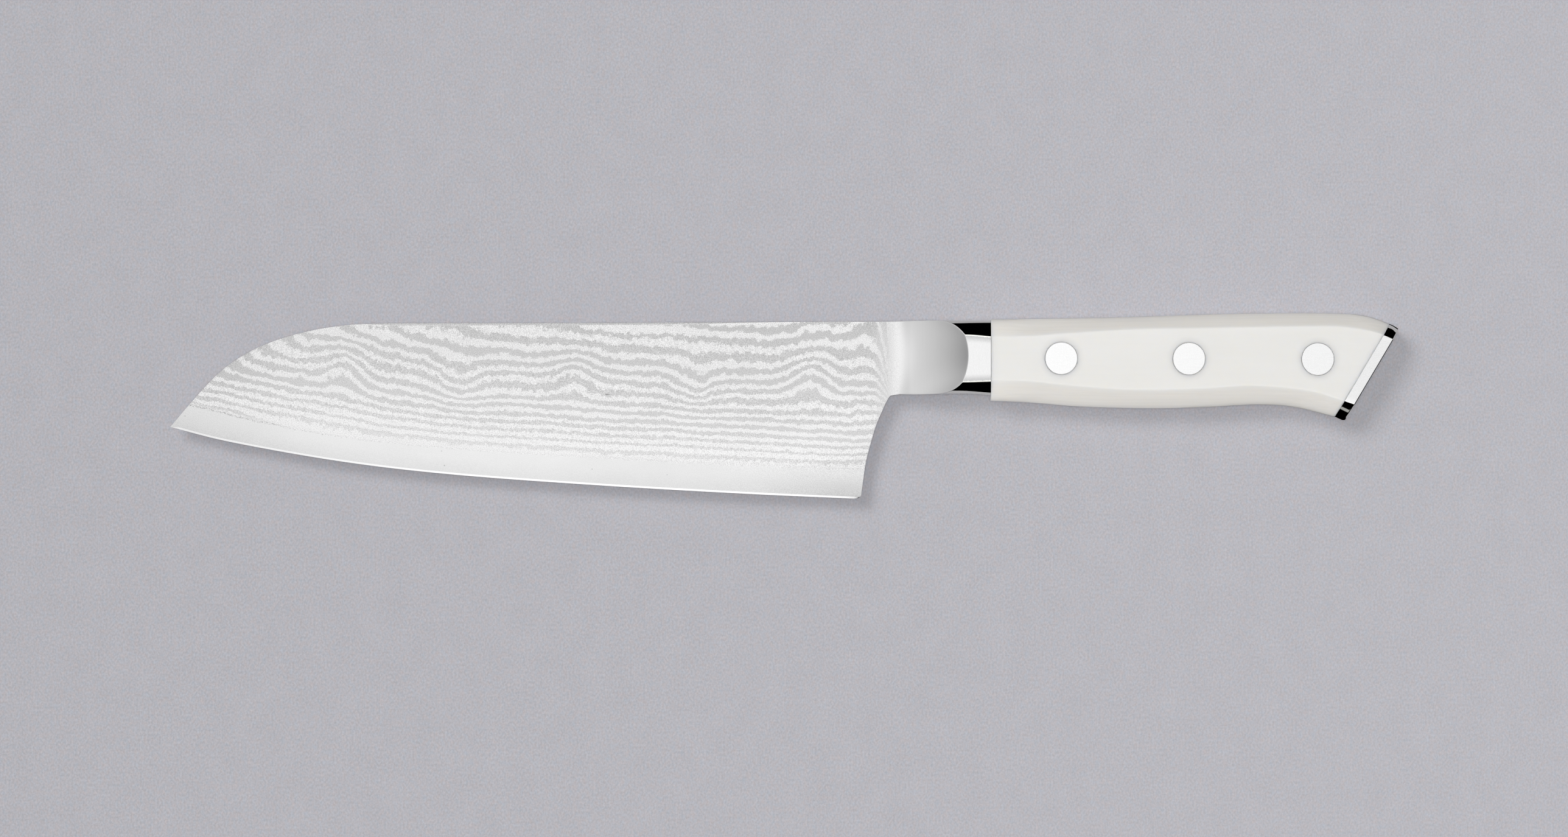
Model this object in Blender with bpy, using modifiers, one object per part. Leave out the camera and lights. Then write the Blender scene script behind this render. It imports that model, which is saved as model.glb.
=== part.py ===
"""Santoku kitchen knife, 306 mm long, lying on its right side.

The knife is modelled about its own middle plane: +X runs from the tip to the
butt, +Y from the cutting edge to the spine, and Z across its thickness. A
parent empty then lifts it so that the flat of the right-hand scale rests on
z = 0, with the origin under the middle of the knife.

Pieces: a laminated blade with a full tang (hard core between two layers of
patterned cladding), two bolster cheeks, two handle scales, three two-piece
rivets and a slanted end cap. All lengths below are in millimetres.
"""

import math

import bmesh
import bpy
import numpy as np
from mathutils import Matrix, Vector

MM = 0.001

# ---------------------------------------------------------------- dimensions
HANDLE_HALF = 7.5  # half the thickness over the flats of the scales
TANG_HALF = 1.0  # half the thickness of the blank in the neck and the tang
CORE_HALF = 0.2  # half the thickness of the hard core layer
GAP = 0.03  # between pieces that touch

# The outline is set out from these points, in (x, y).
TIP = (-152.9, -5.1)
CUTTING_EDGE = [
    TIP,
    (-137.6, -8.9),
    (-110.3, -13.7),
    (-83.0, -16.9),
    (-46.7, -19.6),
    (-10.3, -21.7),
    (17.4, -22.95),
]
HEEL_CORNER = [(18.5, -22.8), (19.2, -22.1)]
HEEL = [
    (19.35, -21.0),
    (20.5, -13.5),
    (22.8, -5.2),
    (24.4, -1.4),
    (26.3, 1.95),
    (27.2, 2.65),
    (28.4, 2.95),
]
NECK_BOTTOM = [(28.4, 2.95), (33.0, 2.92), (38.2, 3.1), (45.0, 3.2), (51.2, 2.85)]
NECK_TOP = [(28.0, 21.2), (36.0, 21.4), (51.2, 21.4)]
SHEEPSFOOT = [  # from the tip up to the straight spine
    TIP,
    (-144.1, 5.0),
    (-137.3, 11.1),
    (-128.9, 15.6),
    (-118.7, 18.7),
    (-108.6, 20.3),
    (-99.0, 20.75),
]
SPINE = [(-99.0, 20.75), (-43.6, 20.85), (28.0, 21.2)]
CORE_LINE = [  # where the cladding ends on the side of the blade
    (-158.0, 3.0),
    (-142.9, -1.0),
    (-127.0, -4.7),
    (-107.7, -8.1),
    (-75.9, -11.1),
    (-43.6, -13.2),
    (-10.0, -14.9),
    (40.0, -16.8),
]

# Wedge of the blade: its half thickness is 0 at no point, and rises from the
# heel towards the spine and, a little, from the tip towards the handle.
HALF_AT_HEEL = 0.25
RISE_TO_SPINE = 0.0165
RISE_TO_HANDLE = 0.0017
GRIND_END = 27.6  # x where the flat grind stops
BEVEL_HALF = 0.05  # half the land left on the sharpened edge
BEVEL_SLOPE = 0.4  # slope of the sharpened bevel

# Bolster: full section near the scales, hollowed towards the blade.
BOLSTER_FRONT, BOLSTER_BACK = 28.0, 51.25
BOLSTER_CREASE = (6.2, 17.6)
SCOOP_FLOOR = 1.25  # height of the hollow over the middle plane, at its front
SCOOP_LENGTH = 17.9
SCOOP_MIDDLE = 12.7  # y of the furthest reach of the hollow
SCOOP_BOW = 0.0346  # how fast the hollow's edge draws back to either side

# Handle scales.
SCALE_FRONT = 51.4
HANDLE_TOP = [
    (40.0, 21.6),
    (62.4, 21.8),
    (84.2, 22.2),
    (106.1, 22.9),
    (124.0, 23.2),
    (137.5, 23.1),
    (144.5, 22.5),
    (150.5, 20.55),
    (153.0, 19.25),
    (160.0, 14.8),
]
HANDLE_BOTTOM = [
    (40.0, 1.6),
    (58.8, 1.1),
    (73.3, 0.0),
    (90.0, -0.45),
    (104.0, -0.2),
    (118.0, 0.45),
    (127.3, -0.2),
    (137.1, -2.6),
    (139.4, -3.45),
    (160.0, -12.0),
]
CREASE_TOP = [
    (40.0, 17.0),
    (59.4, 17.4),
    (71.5, 18.2),
    (86.7, 19.1),
    (103.0, 19.4),
    (130.6, 19.85),
    (140.0, 19.6),
    (149.3, 17.6),
    (160.0, 12.0),
]
CREASE_BOTTOM = [
    (40.0, 6.9),
    (59.4, 6.4),
    (71.5, 5.2),
    (86.7, 4.2),
    (103.0, 4.5),
    (117.0, 5.2),
    (130.6, 3.9),
    (139.7, 1.2),
    (160.0, -6.0),
]
SIDE_HALF = 2.6  # half height of the upright band along the handle's edges
CREASE_TILT = math.radians(25)  # tilt of the shoulder where it leaves the flat

# End cap: a plate that leans back at this angle from upright.
CAP_LEAN = math.radians(30.6)
CAP_FRONT = 119.25  # distance of its front face from the origin, square to it
CAP_THICK = 2.6

# Rivets, in two pieces each.
RIVETS = {"front": (68.9, 11.95), "middle": (100.65, 11.85), "rear": (132.65, 11.75)}
HEAD_R, HEAD_DEPTH = 4.0, 1.8
BARREL_R, BARREL_BORE_R = 2.5, 1.75
SHANK_R = 1.7
RIVET_RECESS = 0.02
TURN_STEPS = 28

# ------------------------------------------------------------------- helpers
for old in list(bpy.data.objects):
    bpy.data.objects.remove(old, do_unlink=True)

scene = bpy.context.scene
parts = bpy.data.collections.new("santoku_knife")
cutters = bpy.data.collections.new("cutters")
scene.collection.children.link(parts)
scene.collection.children.link(cutters)

stand = bpy.data.objects.new("knife_frame", None)
parts.objects.link(stand)
stand.location = Vector((-0.05, -0.11, HANDLE_HALF)) * MM


def smooth(points, spans=4):
    """Points on a curve through the given ones, `spans` to each stretch."""
    p = np.array(points, float)
    p = np.vstack([2 * p[0] - p[1], p, 2 * p[-1] - p[-2]])
    out = []
    for i in range(1, len(p) - 2):
        for k in range(spans):
            t = k / spans
            a = 2 * p[i]
            b = p[i + 1] - p[i - 1]
            c = 2 * p[i - 1] - 5 * p[i] + 4 * p[i + 1] - p[i + 2]
            d = -p[i - 1] + 3 * p[i] - 3 * p[i + 1] + p[i + 2]
            out.append(0.5 * (a + b * t + c * t * t + d * t**3))
    out.append(p[-2])
    return np.array(out)


def height_at(points, x):
    """y of the curve through these points, where it passes x."""
    line = smooth(points, 12)
    return float(np.interp(x, line[:, 0], line[:, 1]))


def material(name, colour, metallic, roughness):
    made = bpy.data.materials.new(name)
    made.use_nodes = True
    shader = made.node_tree.nodes["Principled BSDF"]
    shader.inputs["Base Color"].default_value = (*colour, 1.0)
    shader.inputs["Metallic"].default_value = metallic
    shader.inputs["Roughness"].default_value = roughness
    return made


def adopt(obj, collection):
    for other in list(obj.users_collection):
        other.objects.unlink(obj)
    collection.objects.link(obj)
    obj.parent = stand
    if collection is cutters:
        obj.hide_render = True
        obj.display_type = "WIRE"
    return obj


def object_from(name, bm, collection):
    bmesh.ops.recalc_face_normals(bm, faces=bm.faces)
    mesh = bpy.data.meshes.new(name)
    bm.to_mesh(mesh)
    bm.free()
    obj = bpy.data.objects.new(name, mesh)
    scene.collection.objects.link(obj)
    return adopt(obj, collection)


def mesh_of_curve(curve_object, name, collection):
    """The curve's solid as a mesh object of its own, with its caps welded."""
    bpy.context.view_layer.update()
    graph = bpy.context.evaluated_depsgraph_get()
    mesh = bpy.data.meshes.new_from_object(curve_object.evaluated_get(graph))
    mesh.name = name
    bm = bmesh.new()
    bm.from_mesh(mesh)
    bmesh.ops.remove_doubles(bm, verts=bm.verts, dist=1e-7)
    bmesh.ops.recalc_face_normals(bm, faces=bm.faces)
    bm.to_mesh(mesh)
    bm.free()
    obj = bpy.data.objects.new(name, mesh)
    scene.collection.objects.link(obj)
    obj.matrix_world = curve_object.matrix_world
    data = curve_object.data
    bpy.data.objects.remove(curve_object, do_unlink=True)
    bpy.data.curves.remove(data)
    return adopt(obj, collection)


def plate(name, outline, low, high, collection):
    """A flat outline, extruded from z = low to z = high."""
    curve = bpy.data.curves.new(name + "_outline", "CURVE")
    curve.dimensions = "2D"
    curve.fill_mode = "BOTH"
    curve.extrude = (high - low) / 2 * MM
    spline = curve.splines.new("POLY")
    spline.points.add(len(outline) - 1)
    for point, (x, y) in zip(spline.points, outline):
        point.co = (x * MM, y * MM, 0, 1)
    spline.use_cyclic_u = True
    obj = bpy.data.objects.new(name + "_outline", curve)
    scene.collection.objects.link(obj)
    obj.location.z = (low + high) / 2 * MM
    return mesh_of_curve(obj, name, collection)


def box(name, low, high, collection, matrix=None):
    """A primitive cube, stretched between two corners."""
    low, high = Vector(low), Vector(high)
    bpy.ops.mesh.primitive_cube_add(size=1)
    obj = bpy.context.object
    obj.name = obj.data.name = name
    size = (high - low) * MM
    place = Matrix.Translation((low + high) / 2 * MM) @ Matrix.Diagonal((*size, 1))
    obj.data.transform(place)
    obj.matrix_world = matrix or Matrix.Identity(4)
    return adopt(obj, collection)


def loft(name, rings, collection):
    """A closed solid through a row of unlike sections with equal counts."""
    bm = bmesh.new()
    rows = [[bm.verts.new(Vector(p) * MM) for p in ring] for ring in rings]
    for one, two in zip(rows, rows[1:]):
        count = len(one)
        for i in range(count):
            j = (i + 1) % count
            bm.faces.new((one[i], one[j], two[j], two[i]))
    bm.faces.new(rows[0][::-1])
    bm.faces.new(rows[-1])
    return object_from(name, bm, collection)


def turned(name, profile, collection):
    """A profile of (radius, height) turned about Z, as a mesh."""
    bm = bmesh.new()
    line = [bm.verts.new((r * MM, 0, z * MM)) for r, z in profile]
    for one, two in zip(line, line[1:]):
        bm.edges.new((one, two))
    mesh = bpy.data.meshes.new(name)
    bm.to_mesh(mesh)
    bm.free()
    obj = bpy.data.objects.new(name, mesh)
    scene.collection.objects.link(obj)
    screw = obj.modifiers.new("turn", "SCREW")
    screw.axis = "Z"
    screw.steps = screw.render_steps = TURN_STEPS
    screw.use_merge_vertices = True
    screw.merge_threshold = 0.00001
    screw.use_smooth_shade = True
    return adopt(obj, collection)


def boolean(obj, operation, other):
    modifier = obj.modifiers.new(f"{operation.lower()} {other.name}", "BOOLEAN")
    modifier.operation = operation
    modifier.solver = "EXACT"
    modifier.object = other


def shade(obj, angle=30):
    obj.data.shade_smooth()
    obj.data.set_sharp_from_angle(angle=math.radians(angle))


# ------------------------------------------------------------------ outlines
NORMAL = (math.cos(CAP_LEAN), -math.sin(CAP_LEAN))  # square to the end cap


def to_plane(points, distance):
    """Cuts a line of points short where it reaches the leaning plane."""
    kept = []
    for x, y in points:
        over = x * NORMAL[0] + y * NORMAL[1] - distance
        if over > 0:
            px, py = kept[-1]
            before = distance - (px * NORMAL[0] + py * NORMAL[1])
            share = before / (before + over)
            kept.append((px + share * (x - px), py + share * (y - py)))
            break
        kept.append((x, y))
    return kept


TANG_INSET = 0.05
tang_end = CAP_FRONT - GAP
tang_bottom = [(x, y + TANG_INSET) for x, y in smooth(HANDLE_BOTTOM) if x > SCALE_FRONT]
tang_top = [(x, y - TANG_INSET) for x, y in smooth(HANDLE_TOP) if x > SCALE_FRONT]
tang_bottom.insert(0, (SCALE_FRONT, height_at(HANDLE_BOTTOM, SCALE_FRONT) + TANG_INSET))
tang_top.insert(0, (SCALE_FRONT, height_at(HANDLE_TOP, SCALE_FRONT) - TANG_INSET))

blank_outline = [
    *map(tuple, smooth(CUTTING_EDGE, 3)),
    *HEEL_CORNER,
    *map(tuple, smooth(HEEL, 3)),
    *map(tuple, smooth(NECK_BOTTOM, 2)[1:]),
    *to_plane(tang_bottom, tang_end),
    *to_plane(tang_top, tang_end)[::-1],
    *map(tuple, smooth(NECK_TOP, 1)[::-1]),
    *map(tuple, smooth(SPINE, 3)[::-1][1:]),
    *map(tuple, smooth(SHEEPSFOOT, 3)[::-1][1:-1]),
]

# The side of the blade that carries cladding: all above the core line.
core_line = smooth(CORE_LINE, 3)


def cladding_outline(lift):
    line = [(x, y + lift) for x, y in core_line]
    return [*line, (60.0, -16.8 + lift), (60.0, -20.0), (175.0, -20.0), (175.0, 40.0), (-158.0, 40.0)]


# ------------------------------------------------------------ grinding tools
def wedge_matrix(side):
    """Frame whose XY plane is the ground side of the blade."""
    level = HALF_AT_HEEL - RISE_TO_SPINE * -22.95 - RISE_TO_HANDLE * 18.0
    x_axis = Vector((1, 0, RISE_TO_HANDLE)).normalized()
    normal = Vector((-RISE_TO_HANDLE, -RISE_TO_SPINE, 1)).normalized()
    y_axis = normal.cross(x_axis)
    place = Matrix((x_axis, y_axis, normal)).transposed().to_4x4()
    place.translation = Vector((0, 0, level)) * MM
    if side < 0:
        place = Matrix.Diagonal((1, 1, -1, 1)) @ place @ Matrix.Diagonal((1, 1, -1, 1))
    return place


grind = {
    side: box(
        f"grind_{name}",
        (-170, -40, 0 if side > 0 else -12),
        (GRIND_END, 40, 12 if side > 0 else 0),
        cutters,
        wedge_matrix(side),
    )
    for side, name in ((1, "left"), (-1, "right"))
}


def sharpening_stone(side, name):
    """A prism swept along the cutting edge, whose slope is the bevel."""
    section = bpy.data.curves.new(name + "_section", "CURVE")
    section.dimensions = "2D"
    spline = section.splines.new("POLY")
    reach, out = 3.0, 1.0
    corners = [
        (-out, side * (BEVEL_HALF - BEVEL_SLOPE * out)),
        (reach, side * (BEVEL_HALF + BEVEL_SLOPE * reach)),
        (-out, side * (BEVEL_HALF + BEVEL_SLOPE * reach)),
    ]
    spline.points.add(2)
    for point, (u, v) in zip(spline.points, corners):
        point.co = (u * MM, v * MM, 0, 1)
    spline.use_cyclic_u = True
    profile = bpy.data.objects.new(name + "_section", section)
    scene.collection.objects.link(profile)

    path = smooth(CUTTING_EDGE, 3)
    first, last = path[0] - path[1], path[-1] - path[-2]
    path = np.vstack(
        [
            path[0] + first / np.linalg.norm(first) * 4,
            path,
            path[-1] + last / np.linalg.norm(last) * 4,
        ]
    )
    curve = bpy.data.curves.new(name + "_path", "CURVE")
    curve.dimensions = "3D"
    curve.twist_mode = "Z_UP"
    curve.bevel_mode = "OBJECT"
    curve.bevel_object = profile
    curve.use_fill_caps = True
    spline = curve.splines.new("POLY")
    spline.points.add(len(path) - 1)
    for point, (x, y) in zip(spline.points, path[::-1]):
        point.co = (x * MM, y * MM, 0, 1)
    obj = bpy.data.objects.new(name + "_path", curve)
    scene.collection.objects.link(obj)
    stone = mesh_of_curve(obj, name, cutters)
    bpy.data.objects.remove(profile, do_unlink=True)
    return stone


stones = [sharpening_stone(1, "stone_left"), sharpening_stone(-1, "stone_right")]

# Holes for the rivet barrels, through the tang.
tang_holes = []
for place, (x, y) in RIVETS.items():
    hole = turned(
        f"tang_hole_{place}",
        [(0, 5), (BARREL_R + 0.1, 5), (BARREL_R + 0.1, -5), (0, -5)],
        cutters,
    )
    hole.location = Vector((x, y, 0)) * MM
    tang_holes.append(hole)

# -------------------------------------------------------------------- blade
steel_core = material("steel_core", (0.78, 0.78, 0.79), 1.0, 0.32)
core = plate("blade_core", blank_outline, -TANG_HALF, TANG_HALF, parts)
core.data.materials.append(steel_core)
for tool in (*grind.values(), *stones):
    boolean(core, "DIFFERENCE", tool)
for side, name in ((1, "left"), (-1, "right")):
    low, high = sorted((side * CORE_HALF, side * 3.0))
    pocket = plate(f"pocket_{name}", cladding_outline(0.0), low, high, cutters)
    boolean(core, "DIFFERENCE", pocket)
for hole in tang_holes:
    boolean(core, "DIFFERENCE", hole)

for side, name in ((1, "left"), (-1, "right")):
    low, high = sorted((side * (CORE_HALF + GAP), side * TANG_HALF))
    layer = plate(f"cladding_{name}", blank_outline, low, high, parts)
    layer.data.materials.append(
        material(f"layered_steel_{name}", (0.66, 0.66, 0.67), 0.9, 0.42)
    )
    keep = plate(f"keep_{name}", cladding_outline(GAP), -4.0, 4.0, cutters)
    boolean(layer, "INTERSECT", keep)
    boolean(layer, "DIFFERENCE", grind[side])
    for hole in tang_holes:
        boolean(layer, "DIFFERENCE", hole)


# ------------------------------------------------------------------ sections
def shoulder(outline_y, crease_y, segments=5):
    """Points from the upright side up to the flat, in (y, z)."""
    away = math.copysign(1.0, outline_y - crease_y)
    width = abs(outline_y - crease_y)
    start = Vector((outline_y, SIDE_HALF))
    end = Vector((crease_y, HANDLE_HALF))
    first = start + Vector((0, (HANDLE_HALF - SIDE_HALF) * 0.5))
    reach = width * 0.55
    second = end + Vector((away * reach, -math.tan(CREASE_TILT) * reach))
    out = []
    for i in range(segments + 1):
        t = i / segments
        s = 1 - t
        out.append(s**3 * start + 3 * s * s * t * first + 3 * s * t * t * second + t**3 * end)
    return [(p.x, p.y) for p in out]


def section(x, top, bottom, crease_top, crease_bottom):
    """One closed ring of the handle at x, both sides alike."""
    half = shoulder(bottom, crease_bottom) + shoulder(top, crease_top)[::-1]
    ring = half + [(y, -z) for y, z in half[::-1]]
    return [(x, y, z) for y, z in ring]


# ------------------------------------------------------------------- bolster
bolster_rings = [
    section(
        x,
        height_at(NECK_TOP, x) - 0.02,
        height_at([(20.0, 2.95), *NECK_BOTTOM[1:]], x) + 0.02,
        BOLSTER_CREASE[1],
        BOLSTER_CREASE[0],
    )
    for x in np.linspace(BOLSTER_FRONT, BOLSTER_BACK, 8)
]


def scoop(side, name):
    """The wheel that hollows the bolster, drawn back to either side."""
    rise = HANDLE_HALF - SCOOP_FLOOR
    radius = (SCOOP_LENGTH**2 + rise**2) / (2 * rise)
    rings = []
    for y in np.linspace(0.0, 25.0, 15):
        back = SCOOP_BOW * (y - SCOOP_MIDDLE) ** 2
        ring = []
        for u in np.linspace(-4.0, 22.5, 16):
            z = SCOOP_FLOOR + radius - math.sqrt(radius**2 - u * u)
            ring.append((BOLSTER_FRONT + u - back, y, side * z))
        ring.append((BOLSTER_FRONT + 22.5 - back, y, side * 14.0))
        ring.append((BOLSTER_FRONT - 4.0 - back, y, side * 14.0))
        rings.append(ring)
    return loft(name, rings, cutters)


# ------------------------------------------------------------------- handle
handle_rings = [
    section(
        x,
        height_at(HANDLE_TOP, x),
        height_at(HANDLE_BOTTOM, x),
        height_at(CREASE_TOP, x),
        height_at(CREASE_BOTTOM, x),
    )
    for x in np.linspace(SCALE_FRONT + 0.05, 158.0, 19)
]

lean = Matrix.Rotation(-CAP_LEAN, 4, "Z")
behind_scales = box(
    "behind_scales", (CAP_FRONT - GAP, 20, -15), (CAP_FRONT + 60, 150, 15), cutters, lean
)
cap_slab = box(
    "cap_slab", (CAP_FRONT, 20, -15), (CAP_FRONT + CAP_THICK, 150, 15), cutters, lean
)

HEAD_Z = HANDLE_HALF - RIVET_RECESS  # outer face of a rivet head
rivet_seats = []
for place, (x, y) in RIVETS.items():
    for side in (1, -1):
        profile = [
            (0, 9),
            (HEAD_R + GAP, 9),
            (HEAD_R + GAP, HEAD_Z - HEAD_DEPTH - GAP),
            (BARREL_R + GAP, HEAD_Z - HEAD_DEPTH - GAP),
            (BARREL_R + GAP, 0),
            (0, 0),
        ]
        if side < 0:
            profile = [(r, -z) for r, z in profile[::-1]]
        seat = turned(f"rivet_seat_{place}_{'left' if side > 0 else 'right'}", profile, cutters)
        seat.location = Vector((x, y, 0)) * MM
        rivet_seats.append((side, seat))

satin = (0.72, 0.72, 0.73)
white = (0.86, 0.85, 0.82)
for side, name in ((1, "left"), (-1, "right")):
    low, high = sorted((side * (TANG_HALF + GAP), side * 12.0))
    keep = box(f"keep_side_{name}", (20, -20, low), (170, 40, high), cutters)

    cheek = loft(f"bolster_{name}", bolster_rings, parts)
    cheek.data.materials.append(material(f"bolster_steel_{name}", satin, 1.0, 0.22))
    boolean(cheek, "INTERSECT", keep)
    boolean(cheek, "DIFFERENCE", scoop(side, f"scoop_{name}"))

    grip = loft(f"scale_{name}", handle_rings, parts)
    grip.data.materials.append(material(f"white_composite_{name}", white, 0.0, 0.3))
    boolean(grip, "INTERSECT", keep)
    boolean(grip, "DIFFERENCE", behind_scales)
    for seat_side, seat in rivet_seats:
        if seat_side == side:
            boolean(grip, "DIFFERENCE", seat)

cap = loft("end_cap", handle_rings, parts)
cap.data.materials.append(material("cap_steel", satin, 1.0, 0.15))
boolean(cap, "INTERSECT", cap_slab)

# -------------------------------------------------------------------- rivets
EASE = 0.08  # chamfer round each head
for place, (x, y) in RIVETS.items():
    neck = HEAD_Z - HEAD_DEPTH
    male = turned(
        f"rivet_{place}_male",
        [
            (0, HEAD_Z),
            (HEAD_R - EASE, HEAD_Z),
            (HEAD_R, HEAD_Z - EASE),
            (HEAD_R, neck),
            (SHANK_R, neck),
            (SHANK_R, -4.2),
            (SHANK_R - 0.4, -4.6),
            (0, -4.6),
        ],
        parts,
    )
    female = turned(
        f"rivet_{place}_female",
        [
            (0, -5.0),
            (BARREL_BORE_R, -5.0),
            (BARREL_BORE_R, 4.8),
            (BARREL_R, 4.8),
            (BARREL_R, -neck),
            (HEAD_R, -neck),
            (HEAD_R, -HEAD_Z + EASE),
            (HEAD_R - EASE, -HEAD_Z),
            (0, -HEAD_Z),
        ],
        parts,
    )
    for piece in (male, female):
        piece.location = Vector((x, y, 0)) * MM
        piece.data.materials.append(material(f"{piece.name}_steel", satin, 1.0, 0.25))

for obj in parts.objects:
    if obj.type == "MESH":
        shade(obj)
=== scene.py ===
import math

import bmesh
import bpy
import numpy as np
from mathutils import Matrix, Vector
from mathutils.geometry import delaunay_2d_cdt


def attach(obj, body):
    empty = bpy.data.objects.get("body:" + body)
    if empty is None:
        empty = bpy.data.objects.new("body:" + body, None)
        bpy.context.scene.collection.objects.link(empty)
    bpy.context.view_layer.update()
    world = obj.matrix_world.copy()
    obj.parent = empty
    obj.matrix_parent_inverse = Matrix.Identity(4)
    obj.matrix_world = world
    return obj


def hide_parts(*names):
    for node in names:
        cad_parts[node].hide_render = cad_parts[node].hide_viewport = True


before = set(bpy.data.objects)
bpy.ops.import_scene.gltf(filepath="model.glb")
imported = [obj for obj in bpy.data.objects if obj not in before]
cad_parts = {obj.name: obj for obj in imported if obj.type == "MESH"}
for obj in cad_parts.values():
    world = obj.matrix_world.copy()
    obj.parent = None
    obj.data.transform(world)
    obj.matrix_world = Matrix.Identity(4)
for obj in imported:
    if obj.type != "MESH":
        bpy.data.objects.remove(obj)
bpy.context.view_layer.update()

MM = 0.001
PLACE = np.array([-0.05, -0.11, 7.5])

# ---------------------------------------------------------------- dimensions
HANDLE_HALF = 7.5
CORE_HALF = 0.2
TANG_HALF = 1.0
TIP = (-152.9, -5.1)
CUTTING_EDGE = [TIP, (-137.6, -8.9), (-110.3, -13.7), (-83.0, -16.9), (-46.7, -19.6), (-10.3, -21.7), (17.4, -22.95)]
HEEL_CORNER = [(17.4, -22.95), (18.5, -22.8), (19.2, -22.1), (19.35, -21.0)]
HEEL = [(19.35, -21.0), (20.5, -13.5), (22.8, -5.2), (24.4, -1.3), (25.3, 0.7), (26.1, 2.12), (26.9, 2.83), (28.4, 3.04)]
NECK_BOTTOM = [(28.4, 3.04), (33.0, 2.96), (38.2, 3.1), (45.0, 3.2), (51.2, 2.85)]
NECK_TOP = [(28.0, 21.2), (36.0, 21.4), (51.2, 21.4)]
SHEEPSFOOT = [TIP, (-144.1, 5.0), (-137.3, 11.1), (-128.9, 15.6), (-118.7, 18.7), (-108.6, 20.3), (-99.0, 20.75)]
SPINE = [(-99.0, 20.75), (-43.6, 20.85), (28.0, 21.2)]
CORE_LINE = [(-158.0, 3.0), (-142.9, -1.0), (-127.0, -4.7), (-107.7, -8.1), (-75.9, -11.1), (-43.6, -13.2), (-10.0, -14.9), (40.0, -16.8)]
HALF_AT_HEEL, RISE_TO_SPINE, RISE_TO_HANDLE = 0.25, 0.0165, 0.0017
KEEN_HALF, BEVEL_WIDTH = 0.014, 0.46
SEAM = 26.5  # x where the blade's sides run into the bolster's
EASE = 0.14  # rounding of the spine's end and of the hollow's rim
FINE_EASE = 0.05  # rounding of the heel and of the sheepsfoot, which are ground thin

BOLSTER_BACK = 51.4
BOLSTER_LOW = [(26.0, 6.15), (44.0, 6.25), (51.4, 6.5)]  # creases of its flat
BOLSTER_HIGH = [(26.0, 17.7), (44.0, 17.65), (51.4, 17.15)]
SCOOP_LENGTH, SCOOP_MIDDLE, SCOOP_BOW = 17.8, 12.7, 0.0335

SCALE_FRONT = 51.46
HANDLE_TOP = [(40.0, 21.6), (62.4, 21.8), (84.2, 22.2), (106.1, 22.9), (124.0, 23.2), (137.5, 23.1), (144.5, 22.5), (150.5, 20.55), (153.0, 19.25), (160.0, 14.8)]
HANDLE_BOTTOM = [(40.0, 1.6), (58.8, 1.1), (73.3, 0.0), (90.0, -0.45), (104.0, -0.2), (118.0, 0.45), (127.3, -0.2), (137.1, -2.6), (139.4, -3.45), (160.0, -12.0)]
CREASE_TOP = [(40.0, 17.0), (59.4, 17.4), (71.5, 18.2), (86.7, 19.1), (103.0, 19.4), (130.6, 19.85), (140.0, 19.6), (149.3, 17.6), (160.0, 12.0)]
CREASE_BOTTOM = [(40.0, 6.9), (59.4, 6.4), (71.5, 5.2), (86.7, 4.2), (103.0, 4.5), (117.0, 5.2), (130.6, 3.9), (139.7, 1.2), (160.0, -6.0)]
SIDE_HALF = 3.4
CAP_LEAN = math.radians(30.6)
CAP_FRONT, CAP_THICK = 119.25, 2.6
GAP = 0.03
NORMAL = np.array([math.cos(CAP_LEAN), -math.sin(CAP_LEAN)])
RIVETS = {"front": (68.9, 11.95), "middle": (100.65, 11.85), "rear": (132.65, 11.75)}
HEAD_R, HEAD_DEPTH, BARREL_R, BORE_R, SHANK_R = 4.0, 1.8, 2.5, 1.75, 1.7
HEAD_Z = HANDLE_HALF - 0.02


# ------------------------------------------------------------------- helpers
def smooth(points, spans=4):
    """Points on a curve through the given ones, `spans` to each stretch."""
    p = np.array(points, float)
    p = np.vstack([2 * p[0] - p[1], p, 2 * p[-1] - p[-2]])
    out = []
    for i in range(1, len(p) - 2):
        for k in range(spans):
            t = k / spans
            a = 2 * p[i]
            b = p[i + 1] - p[i - 1]
            c = 2 * p[i - 1] - 5 * p[i] + 4 * p[i + 1] - p[i + 2]
            d = -p[i - 1] + 3 * p[i] - 3 * p[i + 1] + p[i + 2]
            out.append(0.5 * (a + b * t + c * t * t + d * t**3))
    out.append(p[-2])
    return np.array(out)


LINES = {}


def along(points, x):
    """y of the curve through these points, at x (which may be an array)."""
    key = id(points)
    if key not in LINES:
        LINES[key] = smooth(points, 24)
    line = LINES[key]
    return np.interp(x, line[:, 0], line[:, 1])


def evenly(line, step):
    """The same line with points about `step` apart, both ends kept."""
    line = np.asarray(line, float)
    run = np.concatenate([[0], np.cumsum(np.linalg.norm(np.diff(line, axis=0), axis=1))])
    count = max(1, int(round(run[-1] / step)))
    at = np.linspace(0, run[-1], count + 1)
    return np.column_stack([np.interp(at, run, line[:, k]) for k in range(line.shape[1])])


def ramp(x, low, high):
    t = np.clip((np.asarray(x, float) - low) / (high - low), 0, 1)
    return t * t * (3 - 2 * t)


def inside(points, rings):
    """Which of the points lie inside the rings, by counting crossings."""
    points = np.asarray(points, float)
    odd = np.zeros(len(points), bool)
    px, py = points[:, 0], points[:, 1]
    for ring in rings:
        ring = np.asarray(ring, float)
        ax, ay = ring[:, 0], ring[:, 1]
        bx, by = np.roll(ax, -1), np.roll(ay, -1)
        for x0, y0, x1, y1 in zip(ax, ay, bx, by):
            if y0 == y1:
                continue
            crosses = ((y0 > py) != (y1 > py)) & (px < (x1 - x0) * (py - y0) / (y1 - y0) + x0)
            odd ^= crosses
    return odd


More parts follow.
